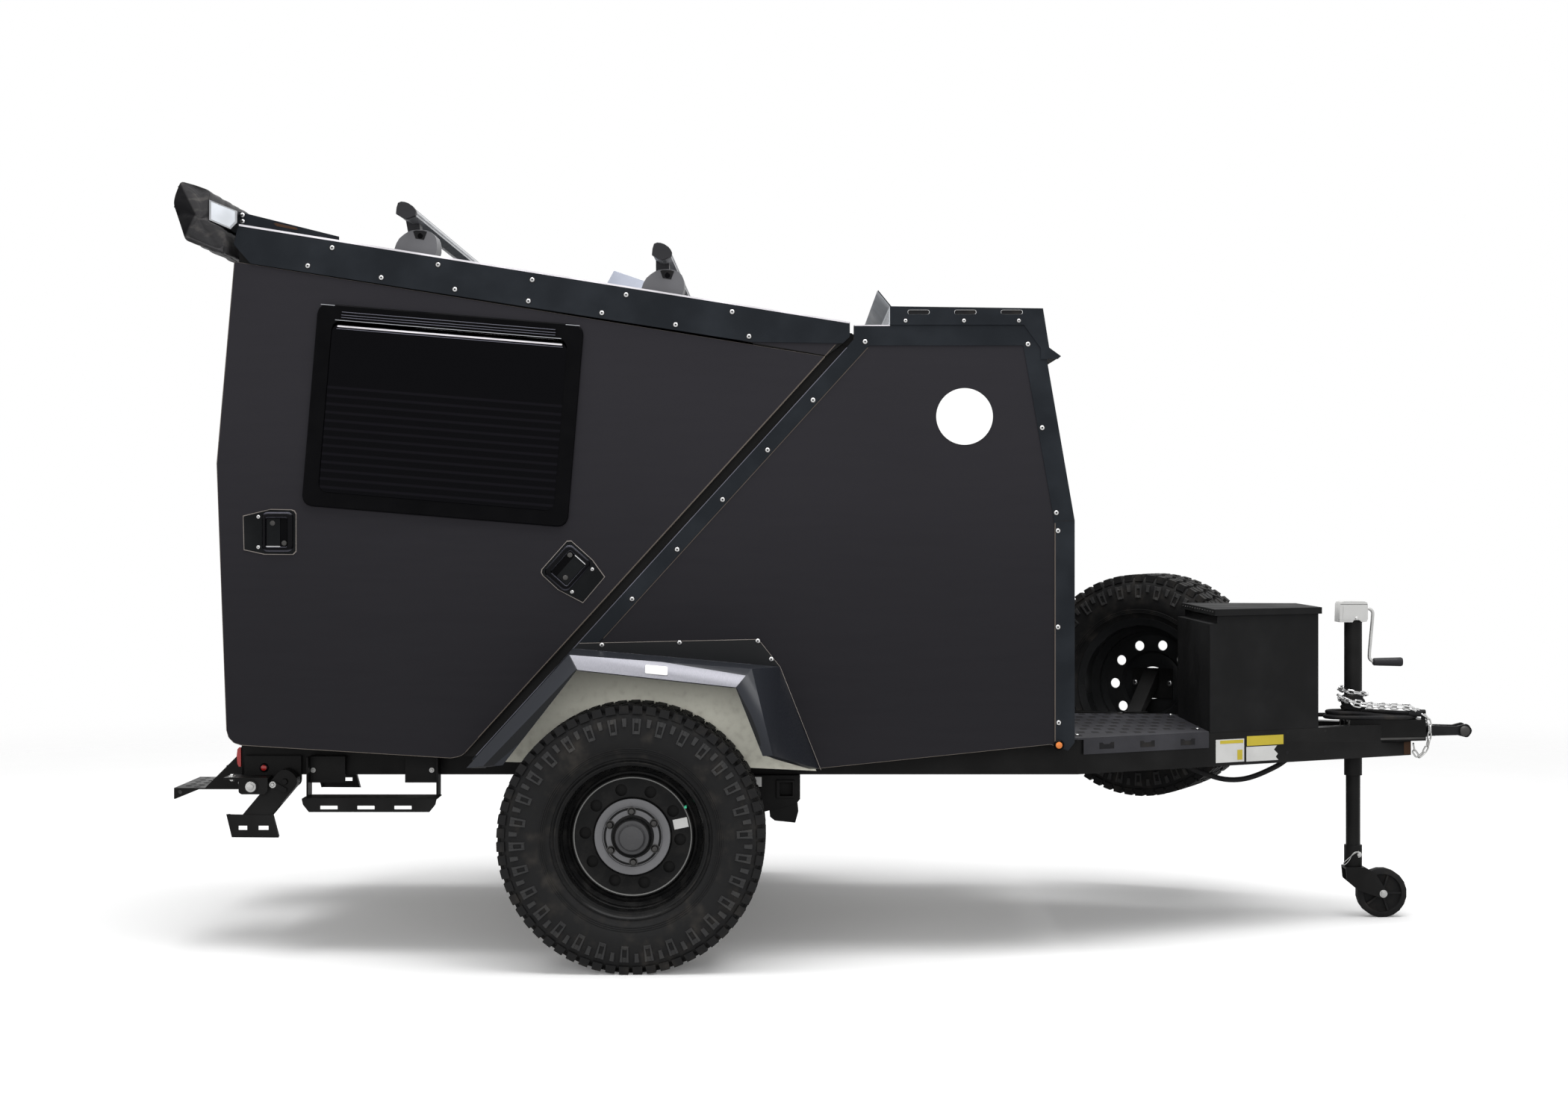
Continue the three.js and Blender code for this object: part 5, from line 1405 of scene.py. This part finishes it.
def across(name, outline, half, finish):
    """A profile of (x, z) points pushed across the whole width."""
    bm = bmesh.new()
    add_prism(bm, [(AXLE_X + x * MM, z * MM) for x, z in outline], -half * MM, half * MM)
    return piece(name, mesh_of(bm, name), finish)


for name, station, shift in (("rear", -629, -19), ("front", 71, -8)):
    def moved(points, share=1.0):
        """A section moved along the roof by a share of the bar's shift."""
        return on_roof([(x + shift * share, z) for x, z in points], station)

    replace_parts(across("load_bar_" + name, moved(BAR), 826, "bar_silver"), "roof_bar_" + name)
    across("bar_top_strip_" + name, moved(BAR_TOP), 825, "seal")
    side_plates("bar_cap_" + name, moved(WING), 823, 845, "black_plastic", 5, 4)
    side_plates("bar_foot_" + name, moved(FOOT, 0), 620, 712, "foot_grey", 11, 4)
    side_plates("foot_strip_" + name, moved(STRIP, 0), 706, 713.2, "seal", 1.5, 2)
    neck = moved([(-24, 55), (14, 55)], 0.4) + moved([(13, 90), (-25, 90)])
    side_plates("foot_neck_" + name, neck, 640, 690, "black_plastic", 3, 2)
    x, z = moved([(8, 50)], 0)[0]
    spun_pairs("foot_button_" + name, BUTTON, x, 713.4, z, "gloss", 20)

print("bar profile points:", len(BAR))

# %% Roof tray
# the tray's rear flap is bare sheet with slanting slots; the slots are thin dark patches, painted
# shade for the open holes
FLAP_HALF, SLOT_FIRST, SLOT_STEP = 735, -690, 57
across("tray_flap_lower", oblong(715.2, 1792, 715.9, 1843), FLAP_HALF, "rail_plate")
across("tray_flap_upper", [(715.2, 1843), (715.9, 1843.4), (680.5, 1886.4), (680, 1885.7)],
       FLAP_HALF, "rail_plate")
bm = bmesh.new()
add_skin(bm, [[at(x, SLOT_FIRST + y, z) for y, z in ((0, 1803), (9, 1803), (40, 1834),
                                                     (31, 1834))] for x in (714.9, 715.3)])
slots = grown("tray_flap_slots", mesh_of(bm, "slot"), "row", "seal", Count=24,
              Step=(0.0, SLOT_STEP * MM, 0.0))
piece("tray_flap_slots", slots)
# painted shade: three dark patches on the tray's side stand for its slots
for k, x in enumerate((797, 929, 1060)):
    side_plates(f"tray_slot_{k}", round_oblong(x, 1826.5, 60, 12, 5.5), 731.5, 733.6, "seal")
screws("tray_screws", [(760, 1802), (925, 1802), (1080, 1802)], 736.6, scale=0.8)
print("slots in the flap:", len(slots.polygons) // 6)

# %% [markdown]
# ## Awning bag
# The rolled awning hangs in a bag of coated fabric behind the roof. It is a lofted shell: one
# section, carried along the roof's width, that sags a little between its ends, with pleats
# pulled towards the rail and creases where the bag folds at each end.

# %% The bag's section
BAG = [(-1281, 2194), (-1297, 2155), (-1302, 2130), (-1268, 2025), (-1232, 2012),
       (-1151, 1985), (-1154, 2058.7), (-1199.8, 2081.7), (-1199.8, 2141), (-1196, 2167),
       (-1238, 2184)]
BAG_HALF = 760
BAG_RINGS = 112
END_STEPS = 12  # rings from the end's rim to its middle


def resampled(points, count):
    """Evenly spaced points round a closed outline."""
    loop = [Vector(p) for p in points]
    lengths = [(loop[(k + 1) % len(loop)] - loop[k]).length for k in range(len(loop))]
    total, result, k, passed = sum(lengths), [], 0, 0.0
    for j in range(count):
        target = total * j / count
        while passed + lengths[k] < target:
            passed += lengths[k]
            k += 1
        result.append(loop[k].lerp(loop[(k + 1) % len(loop)], (target - passed) / lengths[k]))
    return result


def relaxed(points, rounds):
    """Rounds an outline's corners a little, as cloth does."""
    for _ in range(rounds):
        points = [(points[k - 1] + 2 * points[k] + points[(k + 1) % len(points)]) / 4
                  for k in range(len(points))]
    return points


section = relaxed(resampled(BAG, 110), 3)
middle = sum(section, Vector((0, 0))) / len(section)
print("section points:", len(section))

# %% Pleats, sag and folded ends
dice = random.Random(7)
pleats = [(dice.uniform(-740, 740), dice.uniform(9, 26), dice.uniform(0.8, 2.6))
          for _ in range(70)]


def bag_point(spot, y):
    """A section point at a station across: pulled in by pleats, sagging at mid span."""
    x, z = spot
    inward = middle - spot
    pull = sum(depth * math.exp(-((y + (z - 2090) * 0.15 - place) / wide) ** 2)
               for place, wide, depth in pleats)
    under = max(0.0, min(1.0, (2100 - z) / 90))
    wave = 2.4 * under * math.sin(y * 0.021 + z * 0.02) + 1.2 * math.sin(y * 0.057 + x * 0.05)
    shift = inward.normalized() * (1.5 + pull * (0.35 + 0.65 * under) + max(0.0, wave))
    sag = -2.5 * under * (1 - (y / BAG_HALF) ** 2)
    return at(x + shift.x, y, z + shift.y + sag)


def end_point(spot, step, sign):
    """A point of a folded end: creased near its rim, bulging towards its middle."""
    gone = step / END_STEPS
    share = 1 - gone
    offset = spot - middle
    angle = math.atan2(offset.y, offset.x)
    crease = abs(math.sin(2.5 * angle + 0.9 * gone + 0.6)) ** 6
    bulge = 9 * (1 - share ** 3) - 7 * crease * share
    spot = middle + offset * share
    return at(spot.x, sign * (BAG_HALF - 2 + bulge), spot.y)


bm = bmesh.new()
rings = []
for k in range(BAG_RINGS + 1):
    y = -BAG_HALF + 2 + (2 * BAG_HALF - 4) * k / BAG_RINGS
    rings.append([bm.verts.new(bag_point(spot, y)) for spot in section])
for a, b in zip(rings, rings[1:]):
    add_band(bm, a, b)
for last, sign in ((rings[0], -1), (rings[-1], 1)):
    for step in range(1, END_STEPS):
        made = [bm.verts.new(end_point(spot, step, sign)) for spot in section]
        add_band(bm, last, made)
        last = made
    tip = bm.verts.new(at(middle.x, sign * (BAG_HALF + 7), middle.y))
    for k in range(len(last)):
        bm.faces.new((last[k], last[(k + 1) % len(last)], tip))


# %% Coated cloth
def coated_fabric():
    """Vinyl-coated cloth: a fine weave under the coat, chalky where it is creased. The end's rear
    corner, where it folds inward, is painted dark as painted shadow.
    """
    b = Bench("coated_awning_fabric")
    weave = (b.y * 2600).math("SINE", 0.0) + (b.z * 2600).math("SINE", 0.0)
    cloud = b.noise(9, 5)
    chalk = b.fade(b.noise(26, 5, stretch=(1, 0.4, 2)), 0.5, 0.72)
    cloth = b.blend(chalk, b.blend(cloud, (0.025, 0.025, 0.0275), (0.042, 0.041, 0.042)),
                    (0.072, 0.068, 0.066))
    fold_shadow_reach = b.x - AXLE_X + abs(b.z - 2.0995) * 0.52  # painted shadow: where the end folds in at its rear corner, the cloth is painted dark as its shade
    painted_fold_shadow = b.fade(fold_shadow_reach, -1.232, -1.240) * (b.facing("Y") > 0.5)
    colour = b.blend(painted_fold_shadow * 0.95, cloth, (0.0025, 0.0025, 0.0032))
    return b.finish(colour, b.fade(cloud, 0.3, 0.7, 0.34, 0.55),
                    bump=weave * 0.2 + b.noise(38, 4), strength=0.5, reach=1.6, specular=0.1)


finishes["bag"] = coated_fabric()
bag = piece("awning_bag_cloth", mesh_of(bm, "bag", 60), "bag")
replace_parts(bag, "awning_bag")
print("awning bag faces:", len(bag.data.polygons))

# %% Seams, folds and the rail's ends
# welt seams along the bag, pleats folded under it, and the rail's bright ends
for name, k_spot in (("top", 3), ("rear", 14), ("low", 48)):
    line = [bag_point(section[k_spot], -BAG_HALF + 4 + (2 * BAG_HALF - 8) * k / 60)
            for k in range(61)]
    cord_piece("bag_welt_" + name, line, 0.0045, "bag", 3)
for side, sign in SIDES.items():
    for k in range(4):
        fold = [(-1262 + 12 * k, 2029 - 5 * k), (-1200 + 6 * k, 2003 - 4 * k),
                (-1160, 1988 + 4 * k)]
        line = smoothed([at(x, sign * (BAG_HALF + 3 - k), z + 6) for x, z in fold], 5)
        cord_piece(f"bag_fold_{k}_{side}", line, 0.007, "bag", 3)
rail = [(-1199, 2140), (-1121, 2108.5), (-1121, 2076), (-1139, 2057.5), (-1199, 2083)]
centre = Vector((-1160, 2098))
side_plates("rail_end", rail, 758, 762.6, "bar_silver", 1, 2)
side_plates("rail_end_face", [centre + (Vector(p) - centre) * 0.86 for p in rail], 762, 763.2,
            "rail_plate")
side_plates("arm_slot", [(-1030, 2080.5), (-1024, 2082), (-965, 2068), (-961, 2063),
                         (-968, 2062.5), (-1022, 2073)], 705.5, 706.4, "rust")
screws("arm_screws", [(-1118.8, 2104), (-1118.8, 2085.7)], 706.2)
print("rail end corners:", len(rail))

# %% [markdown]
# ## Drawbar
# The deck is punched sheet: a grid of points on its top takes one slot each, and a tree puts
# them in. Labels on the rail are blank plates. The safety chain is one link, set along a drawn
# path by a tree that turns every second link a quarter.

# %% Rail plates
RAIL_FOOT = (1263.8, 580)  # where the slanting rail's outer face begins


def rail_plate(name, outline, finish, base=0.2, thick=0.5, sides=("right",)):
    """A plate of (x, z) points on the slanting rail's outer face, standing off by `base`."""
    for side in sides:
        bm = bmesh.new()
        add_skin(bm, [[at(x, SIDES[side] * (
            RAIL_FOOT[1] - (x - RAIL_FOOT[0]) * math.tan(RAIL_TURN) + out / math.cos(RAIL_TURN)),
            z) for x, z in outline] for out in (base, base + thick)])
        piece(f"{name}_{side}", mesh_of(bm, name), finish)


TIE = [(-23, -9.5), (23, -9.5), (23, 9), (13, 9), (9, 4), (-9, 4), (-13, 9), (-23, 9)]
# painted shade: dark patches off the rail stand for the flange's tie-down slots
for k, (x, z) in enumerate(((1353.7, 585.4), (1481.9, 584.3), (1611.2, 583.6))):
    rail_plate(f"flange_slot_{k}", [(x + a, z + b) for a, b in TIE], "seal", 8.2, 0.3)
rail_plate("label_main", oblong(1704, 515, 1798, 584), "white")
rail_plate("label_band", oblong(1718, 571, 1795, 581), "yellow", 0.6)
rail_plate("label_column", oblong(1775, 521, 1792, 551), "yellow", 0.6)
rail_plate("label_strip", oblong(1807, 561, 1930, 590), "yellow")
rail_plate("label_torn", [(1805, 514), (1913, 514), (1904, 524), (1911, 533), (1898, 546),
                          (1908, 558), (1805, 558)], "white")
# painted shade: dark discs on the rails stand for their holes
for k, hole in enumerate(((1944.7, 594, 4.5), (1943, 534.4, 5), (2073, 594, 4.5),
                          (2073, 532.5, 4.5))):
    rail_plate(f"rail_hole_{k}", circle(*hole, 16), "seal", 0.1, 0.2, SIDES)
rail_plate("rail_tip_rust", oblong(2352, 508, 2376, 547), "rust", 0.1, 0.4, SIDES)
print("the rails slant by", round(math.degrees(RAIL_TURN), 1), "degrees")

# %% Deck slots and screws
DECK_TOP, DECK_FRONT = 610.5, 1668
spots = []
for row in range(8):
    y = -500 + 112 * row
    for k in range(10):
        x = 1276 + 42 * k
        half_width = 520 - (x - RAIL_FOOT[0]) * math.tan(RAIL_TURN)
        ahead = x + 21 * (row % 2)  # every second row stands half a pitch further on
        if -y < half_width and ahead < DECK_FRONT:
            spots.append(at(ahead, y, DECK_TOP))
# painted shade: each slot is a thin dark patch on the deck, for the shade inside its punched hole
bm = bmesh.new()
add_prism(bm, [(-0.010, 0), (0.010, 0), (0.010, 0.0003), (-0.010, 0.0003)], -0.021, 0.021)
slot_unit = helper("unit_deck_slot", mesh_of(bm, "deck_slot"))
slots = grown("deck_slots", dots("deck_slots", spots), "points", "seal", Unit=slot_unit,
              Turn=(0.0, 0.0, 0.0))
piece("deck_slots", slots)
screw_set("deck_screws_*", [at(x, y, DECK_TOP + 0.3) for x, y in (
    (1274, -479), (1663, -274), (1667, 262), (1274, 290))], turn=(math.pi / 2, 0.0, 0.0))
post = (Matrix.Translation(at(1640, 527, 695)) @ Matrix.Rotation(-RAIL_TURN, 4, "Z")
        @ Matrix.Translation((0, 0.0215, 0)) @ Matrix.Diagonal((1.35, -1.35, 1.35, 1)))
screw_set("post_bolts_*", [(-0.045, 0, 0), (0.045, 0, 0)], post)
print("deck slots:", len(spots))

# %% Box rivets and front markers
rivet = spun_mesh("rivet", [(0, 2.2), (2.2, 1.8), (3.4, 0.6), (3.6, 0), (0, 0)], 12, False)
rivet_unit = helper("unit_rivet", rivet)
rivets = grown("lid_rivets", dots("lid_rivets", [at(1698.8, -330 + 45 * k, 964)
                                                 for k in range(13)]), "points", "dark_steel",
               Unit=rivet_unit, Turn=(0.0, 0.0, math.pi / 2))
piece("lid_rivets", rivets, None, "tongue_box_lid")
marker = (1193, 733, 604)
spun_pairs("marker_bezel", [(0, 0), (15, 0), (15, 3), (12, 6), (9, 6), (0, 6)], *marker, "gloss",
           32)
spun_pairs("marker_lens", [(9.5, 5.5), (9.2, 8), (6, 10), (0, 10.6), (0, 5.5)], *marker, "amber",
           24)
print("rivet faces:", len(rivets.polygons))

# %% Jack
JACK_X = 2196


def near_jack(points):
    """(x, z) points measured from the jack's axis."""
    return [(JACK_X + x, z) for x, z in points]


tube = spun_piece("jack_tube", [(23.2, 0), (27.5, 0), (27.5, 484), (0, 484)],
                  at(JACK_X, 0, 443), (0, 0, 1), "steel", 48)
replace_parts(tube, "jack_body")
bm = bmesh.new()
head = near_jack([(-50, 922), (-48.5, 978), (-44, 985), (-36, 987), (28, 987), (36, 983),
                  (38, 975), (38, 932), (34, 924), (20, 922), (10, 930), (-4, 930), (-10, 922)])
add_prism(bm, [tuple(at(x, 0, z).xz) for x, z in head], -0.0362, 0.0362)
piece("jack_gearbox", mesh_of(bm, "gearbox"), "zinc")
side_plates("gearbox_panel", near_jack([(-41, 929), (-38, 972), (28, 972), (29, 937),
                                        (22, 929)]), 36, 37.8, "zinc", 1.6, 3)
side_plates("gearbox_seam", near_jack([(-48, 977.2), (-48, 978.6), (36, 978.6), (36, 977.2)]),
            36, 36.9, "dark_steel")
side_plates("coupler_lip", [(2197, 556), (2406, 560), (2406, 566), (2197, 562)], 54.5, 57,
            "dark_steel", 1, 2)
for side, sign in SIDES.items():
    weld = smoothed([at(x, sign * 55.6, z) for x, z in (
        (2172, 619), (2169, 600), (2170, 578), (2182, 562), (2197, 552))], 4)
    cord_piece("coupler_weld_" + side, weld, 0.008, "dark_steel", 3)
spun_piece("gearbox_nut", [(0, 4), (5, 4), (6, 3), (6, 0), (0, 0)],
           at(JACK_X + 3, -37, 934), (0, -1, 0), "zinc", 6)
crank = smoothed([at(x, 0, z) for x, z in (
    (2228, 964), (2246, 963), (2256, 955), (2257, 938), (2252, 880), (2247, 822), (2249, 806),
    (2260, 798), (2275, 797))], 4)
cord_piece("jack_crank", crank, 0.0105, "zinc", 6)
spun_piece("crank_grip", [(0, 0), (8, 0), (11.6, 4), (12.4, 20), (13.6, 70), (14.2, 88),
                          (12, 93), (4, 94), (0, 93)],
           at(2257, 0, 797), (1, 0, 0), "black_plastic")
spun_piece("jack_boot", [(27.6, 0), (37, 2), (40, 9), (35, 15), (38, 22), (36, 30), (31, 36),
                         (32, 44), (27.6, 47)],
           at(JACK_X, 0, 648), (0, 0, 1), "hose", 40)
spun_piece("jack_pin", [(0, 6), (5, 6), (6.5, 4.5), (6.5, 0), (9.5, 0), (9.5, -2), (0, -2)],
           at(JACK_X + 12, -26, 197), (0, -1, 0), "zinc", 18, "jack_leg")
clip = smoothed([at(JACK_X + x, y, z) for x, y, z in (
    (12, -31, 203), (0, -33, 206), (-12, -34, 196), (-20, -34, 180), (-34, -33, 166),
    (-37, -33, 172), (-22, -33, 186), (-6, -32, 199), (10, -32, 208))], 4)
cord_piece("jack_pin_clip", clip, 0.0026, "zinc", 3, "jack_leg")
spun_pairs("hitch_pin_head", [(0, 9), (9, 9), (15, 5), (16, 0), (0, 0)], 2534, 41, 584,
           "dark_steel", 24, "hitch_yoke")
spun_pairs("caster_nut", [(0, 9), (3.4, 9), (3.6, 6.6), (7.6, 6.4), (8.4, 5.4), (8.4, 2),
                          (12, 2), (12, 0), (0, 0)],
           JACK_X + 87, 33, 76, "zinc", 18, "caster_fork")
print("jack made")

# %% Chain
LINK_WIRE, LINK_BEND, LINK_HALF = 2.8, 5.4, 6.5  # wire radius, end bend, half the straight run
LINK_PITCH = 0.0188  # metres of chain to a link


def link_mesh():
    """One welded link, long way along Z."""
    rings = []
    for half, middle in ((0, LINK_HALF), (math.pi, -LINK_HALF)):
        for k in range(7):
            t = half + math.pi * k / 6
            out = Vector((math.cos(t), 0, math.sin(t)))
            centre = out * LINK_BEND + Vector((0, 0, middle))
            rings.append([(centre + out * (LINK_WIRE * math.cos(a * math.pi / 3))
                           + Vector((0, LINK_WIRE * math.sin(a * math.pi / 3), 0))) * MM
                          for a in range(6)])
    bm = bmesh.new()
    add_skin(bm, rings, looped=True)
    return mesh_of(bm, "link")


link_unit = helper("unit_link", link_mesh())


def chain(name, points, finish):
    """Links along a smooth line through points; says how many there are."""
    line = smoothed([at(*p) for p in points], 6)
    mesh = bpy.data.meshes.new(name)
    mesh.from_pydata([tuple(p) for p in line], [(k, k + 1) for k in range(len(line) - 1)], [])
    count = round(path_length(line) / LINK_PITCH)
    piece(name, grown(name, mesh, "links", finish, Unit=link_unit, Count=count))
    return count


wrap = [(JACK_X + 41 * math.cos(math.radians(a)), 41 * math.sin(math.radians(a)),
         726 - 0.085 * a) for a in range(60, 611, 22)]
links = chain("safety_chain_wrap", wrap + [
    (2182, -46, 668), (2215, -52, 662), (2262, -50, 660), (2310, -48, 658), (2350, -50, 656),
    (2384, -50, 645), (2404, -48, 633)], "bright")
links += chain("safety_chain_second", [
    (2150, -30, 690), (2168, -42, 678), (2200, -44, 674), (2232, -34, 668), (2280, -26, 664),
    (2330, -22, 662), (2370, -24, 658), (2396, -30, 642), (2408, -34, 634)], "bright")
links += chain("safety_chain_drop", [
    (2411, -48, 630), (2421, -46, 614), (2424, -46, 590), (2422, -46, 566), (2418, -44, 542),
    (2408, -42, 520), (2394, -40, 506), (2381, -40, 514), (2376, -42, 534)], "zinc")
print("chain links:", links)

# %% [markdown]
# ## Under the cabin
# Bolts are a washer and a six-sided head, turned to face along any axis. The small round lamps
# on the frame are a black bezel with a coloured lens.

# %% Bolts, lamps and the hanger's label
def hex_bolt(name, spot, axis, size=9.0):
    """A washer and a hexagon head standing off a face."""
    washer = [(0, 2.4), (size * 1.5, 2.4), (size * 1.62, 1.4), (size * 1.62, 0), (0, 0)]
    head = [(0, size + 0.6), (size * 0.7, size + 0.6), (size, size - 1), (size, 2), (0, 2)]
    spun_piece(name + "_washer", washer, spot, axis, "zinc", 24)
    spun_piece(name, head, spot, axis, "zinc", 6)


for side, sign in SIDES.items():
    for name, (x, y, z), size in (("prop_bolt", (-1103, 671.5, 479), 9.5),
                                  ("housing_bolt_a", (-1147, 592, 482), 6),
                                  ("housing_bolt_b", (-1043, 658.5, 484), 6),
                                  ("hanger_bolt_0", (-938, 604.5, 520), 4.6),
                                  ("hanger_bolt_1", (-597, 604.5, 520), 4.6)):
        hex_bolt(f"{name}_{side}", at(x, sign * y, z), (0, sign, 0), size)
    hex_bolt("ear_bolt_" + side, at(-1163, sign * 640, 505), (0, 0, 1), 6.5)
    hex_bolt("ear_nut_" + side, at(-1163, sign * 640, 499), (0, 0, -1), 6.5)
    # the tail lamp stands on the frame's rear end
    bm = bmesh.new()
    add_prism(bm, [tuple(at(x, 0, z).xz) for x, z in (
        (-1151, 528), (-1151, 584), (-1156, 584), (-1161, 578), (-1163, 560), (-1161, 536),
        (-1157, 528))], *sorted((sign * 0.520, sign * 0.585)))
    piece("tail_lamp_" + side, mesh_of(bm, "tail_lamp"), "red")
side_plates("prop_link", [(-1052, 492), (-1040, 493), (-1004, 473), (-1004, 464), (-1011, 461),
                          (-1048, 477)], 654, 658.5, "steel", 1, 2)
side_plates("hanger_label", oblong(309, 472, 352, 500), 600.2, 600.8, "white")
marker = (-1082, 592, 526)
spun_pairs("rear_marker_bezel", [(0, 0), (13, 0), (13, 3), (10, 5), (8, 5), (0, 5)], *marker,
           "gloss", 28)
spun_pairs("rear_marker_lens", [(8.4, 4.6), (8, 7), (5, 8.4), (0, 9), (0, 4.6)], *marker, "red",
           24)
print("underside made")

# %% [markdown]
# ## Dressing the frame's own solids
# Real sheet and board never end in a perfectly sharp corner, and it is the rounded corner that
# catches a highlight. Each solid is copied, its loose triangles are merged into whole faces,
# and a fine bevel goes round it. The copy stands for the frame's node and rides on its body.

# %% Dressed copies
def dressed(node, finish, bevel, segments=2, edit=None):
    """A merged, bevelled copy of a frame node, which then stands for it."""
    bm = bmesh.new()
    bm.from_mesh(nodes[node].data)
    bmesh.ops.remove_doubles(bm, verts=bm.verts, dist=2e-5)
    bmesh.ops.dissolve_limit(bm, angle_limit=math.radians(0.6), verts=bm.verts, edges=bm.edges)
    if edit:
        edit(bm)
    for face in bm.faces:  # only the facets of a curved surface are shaded as one
        turns = [e.calc_face_angle(0) for e in face.edges if e.is_manifold]
        face.smooth = any(math.radians(2) < turn < math.radians(32) for turn in turns)
    mesh = bpy.data.meshes.new(node + "_dressed")
    bm.to_mesh(mesh)
    bm.free()
    made = piece(node + "_dressed", mesh, finish, body_of_node[node])
    edge = made.modifiers.new("edges", "BEVEL")
    edge.width, edge.segments, edge.limit_method = bevel * MM, segments, "ANGLE"
    edge.angle_limit, edge.harden_normals = math.radians(25), True
    edge.miter_outer = "MITER_ARC"
    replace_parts(made, node)


print("corners are mitred in arcs, and faces under 32 degrees apart are shaded as one")

# %% Which finish each node takes
# and how wide its corners are rounded, in millimetres
plain_nodes = [
    ("frame_rail_left frame_rail_right", "steel", 4),
    ("crossmember_rear crossmember_axle crossmember_front", "steel", 3),
    ("suspension_left suspension_right", "steel", 3),
    ("cabin_floor", "board", 0.6),
    ("side_wall_left side_wall_right", "panel", 2),
    ("front_wall rear_hatch", "end_panel", 2),
    ("side_frame_left side_frame_right rear_header rear_sill", "steel", 1.5),
    ("roof_front roof_rear side_trim_left side_trim_right roof_tray", "trim", 0.9),
    ("window_frame_left window_frame_right", "gloss", 6),
    ("fender_left fender_right", "fender", 0.8),
    ("side_step_left side_step_right rear_step", "steel", 1),
    ("stabiliser_bracket_left stabiliser_bracket_right", "steel", 1.2),
    ("stabiliser_leg_left stabiliser_leg_right", "steel", 2),
    ("roof_vent", "vent_grey", 9),
    ("awning_mount", "trim", 1),
    ("coupler", "steel", 1.5),
    ("hitch_yoke", "forged", 1.5),
    ("jack_leg caster_fork", "steel", 1),
    ("caster_wheel", "tyre", 1.5),
    ("tongue_deck", "deck", 0.8),
    ("tongue_box tongue_box_lid", "box", 1),
    ("spare_post", "steel", 1.5),
]
for names, finish, bevel in plain_nodes:
    for name in names.split():
        dressed(name, finish, bevel)


def flat_latches(bm):
    """Flattens the latch bodies into the panel, because the detailed latches stand for them."""
    for vert in bm.verts:
        if abs(vert.co.y) > WALL_Y * MM:
            vert.co.y = math.copysign(WALL_Y * MM, vert.co.y)
    bmesh.ops.remove_doubles(bm, verts=bm.verts, dist=2e-5)
    bmesh.ops.dissolve_limit(bm, angle_limit=math.radians(0.6), verts=bm.verts, edges=bm.edges)


for side in SIDES:
    dressed("side_hatch_" + side, "panel", 2.6, 1, flat_latches)
print("dressed", sum(len(row[0].split()) for row in plain_nodes) + len(SIDES), "nodes")


# %% Close
for unit in (*screw_units.values(), slot_unit, rivet_unit, link_unit):
    bpy.data.objects.remove(unit)
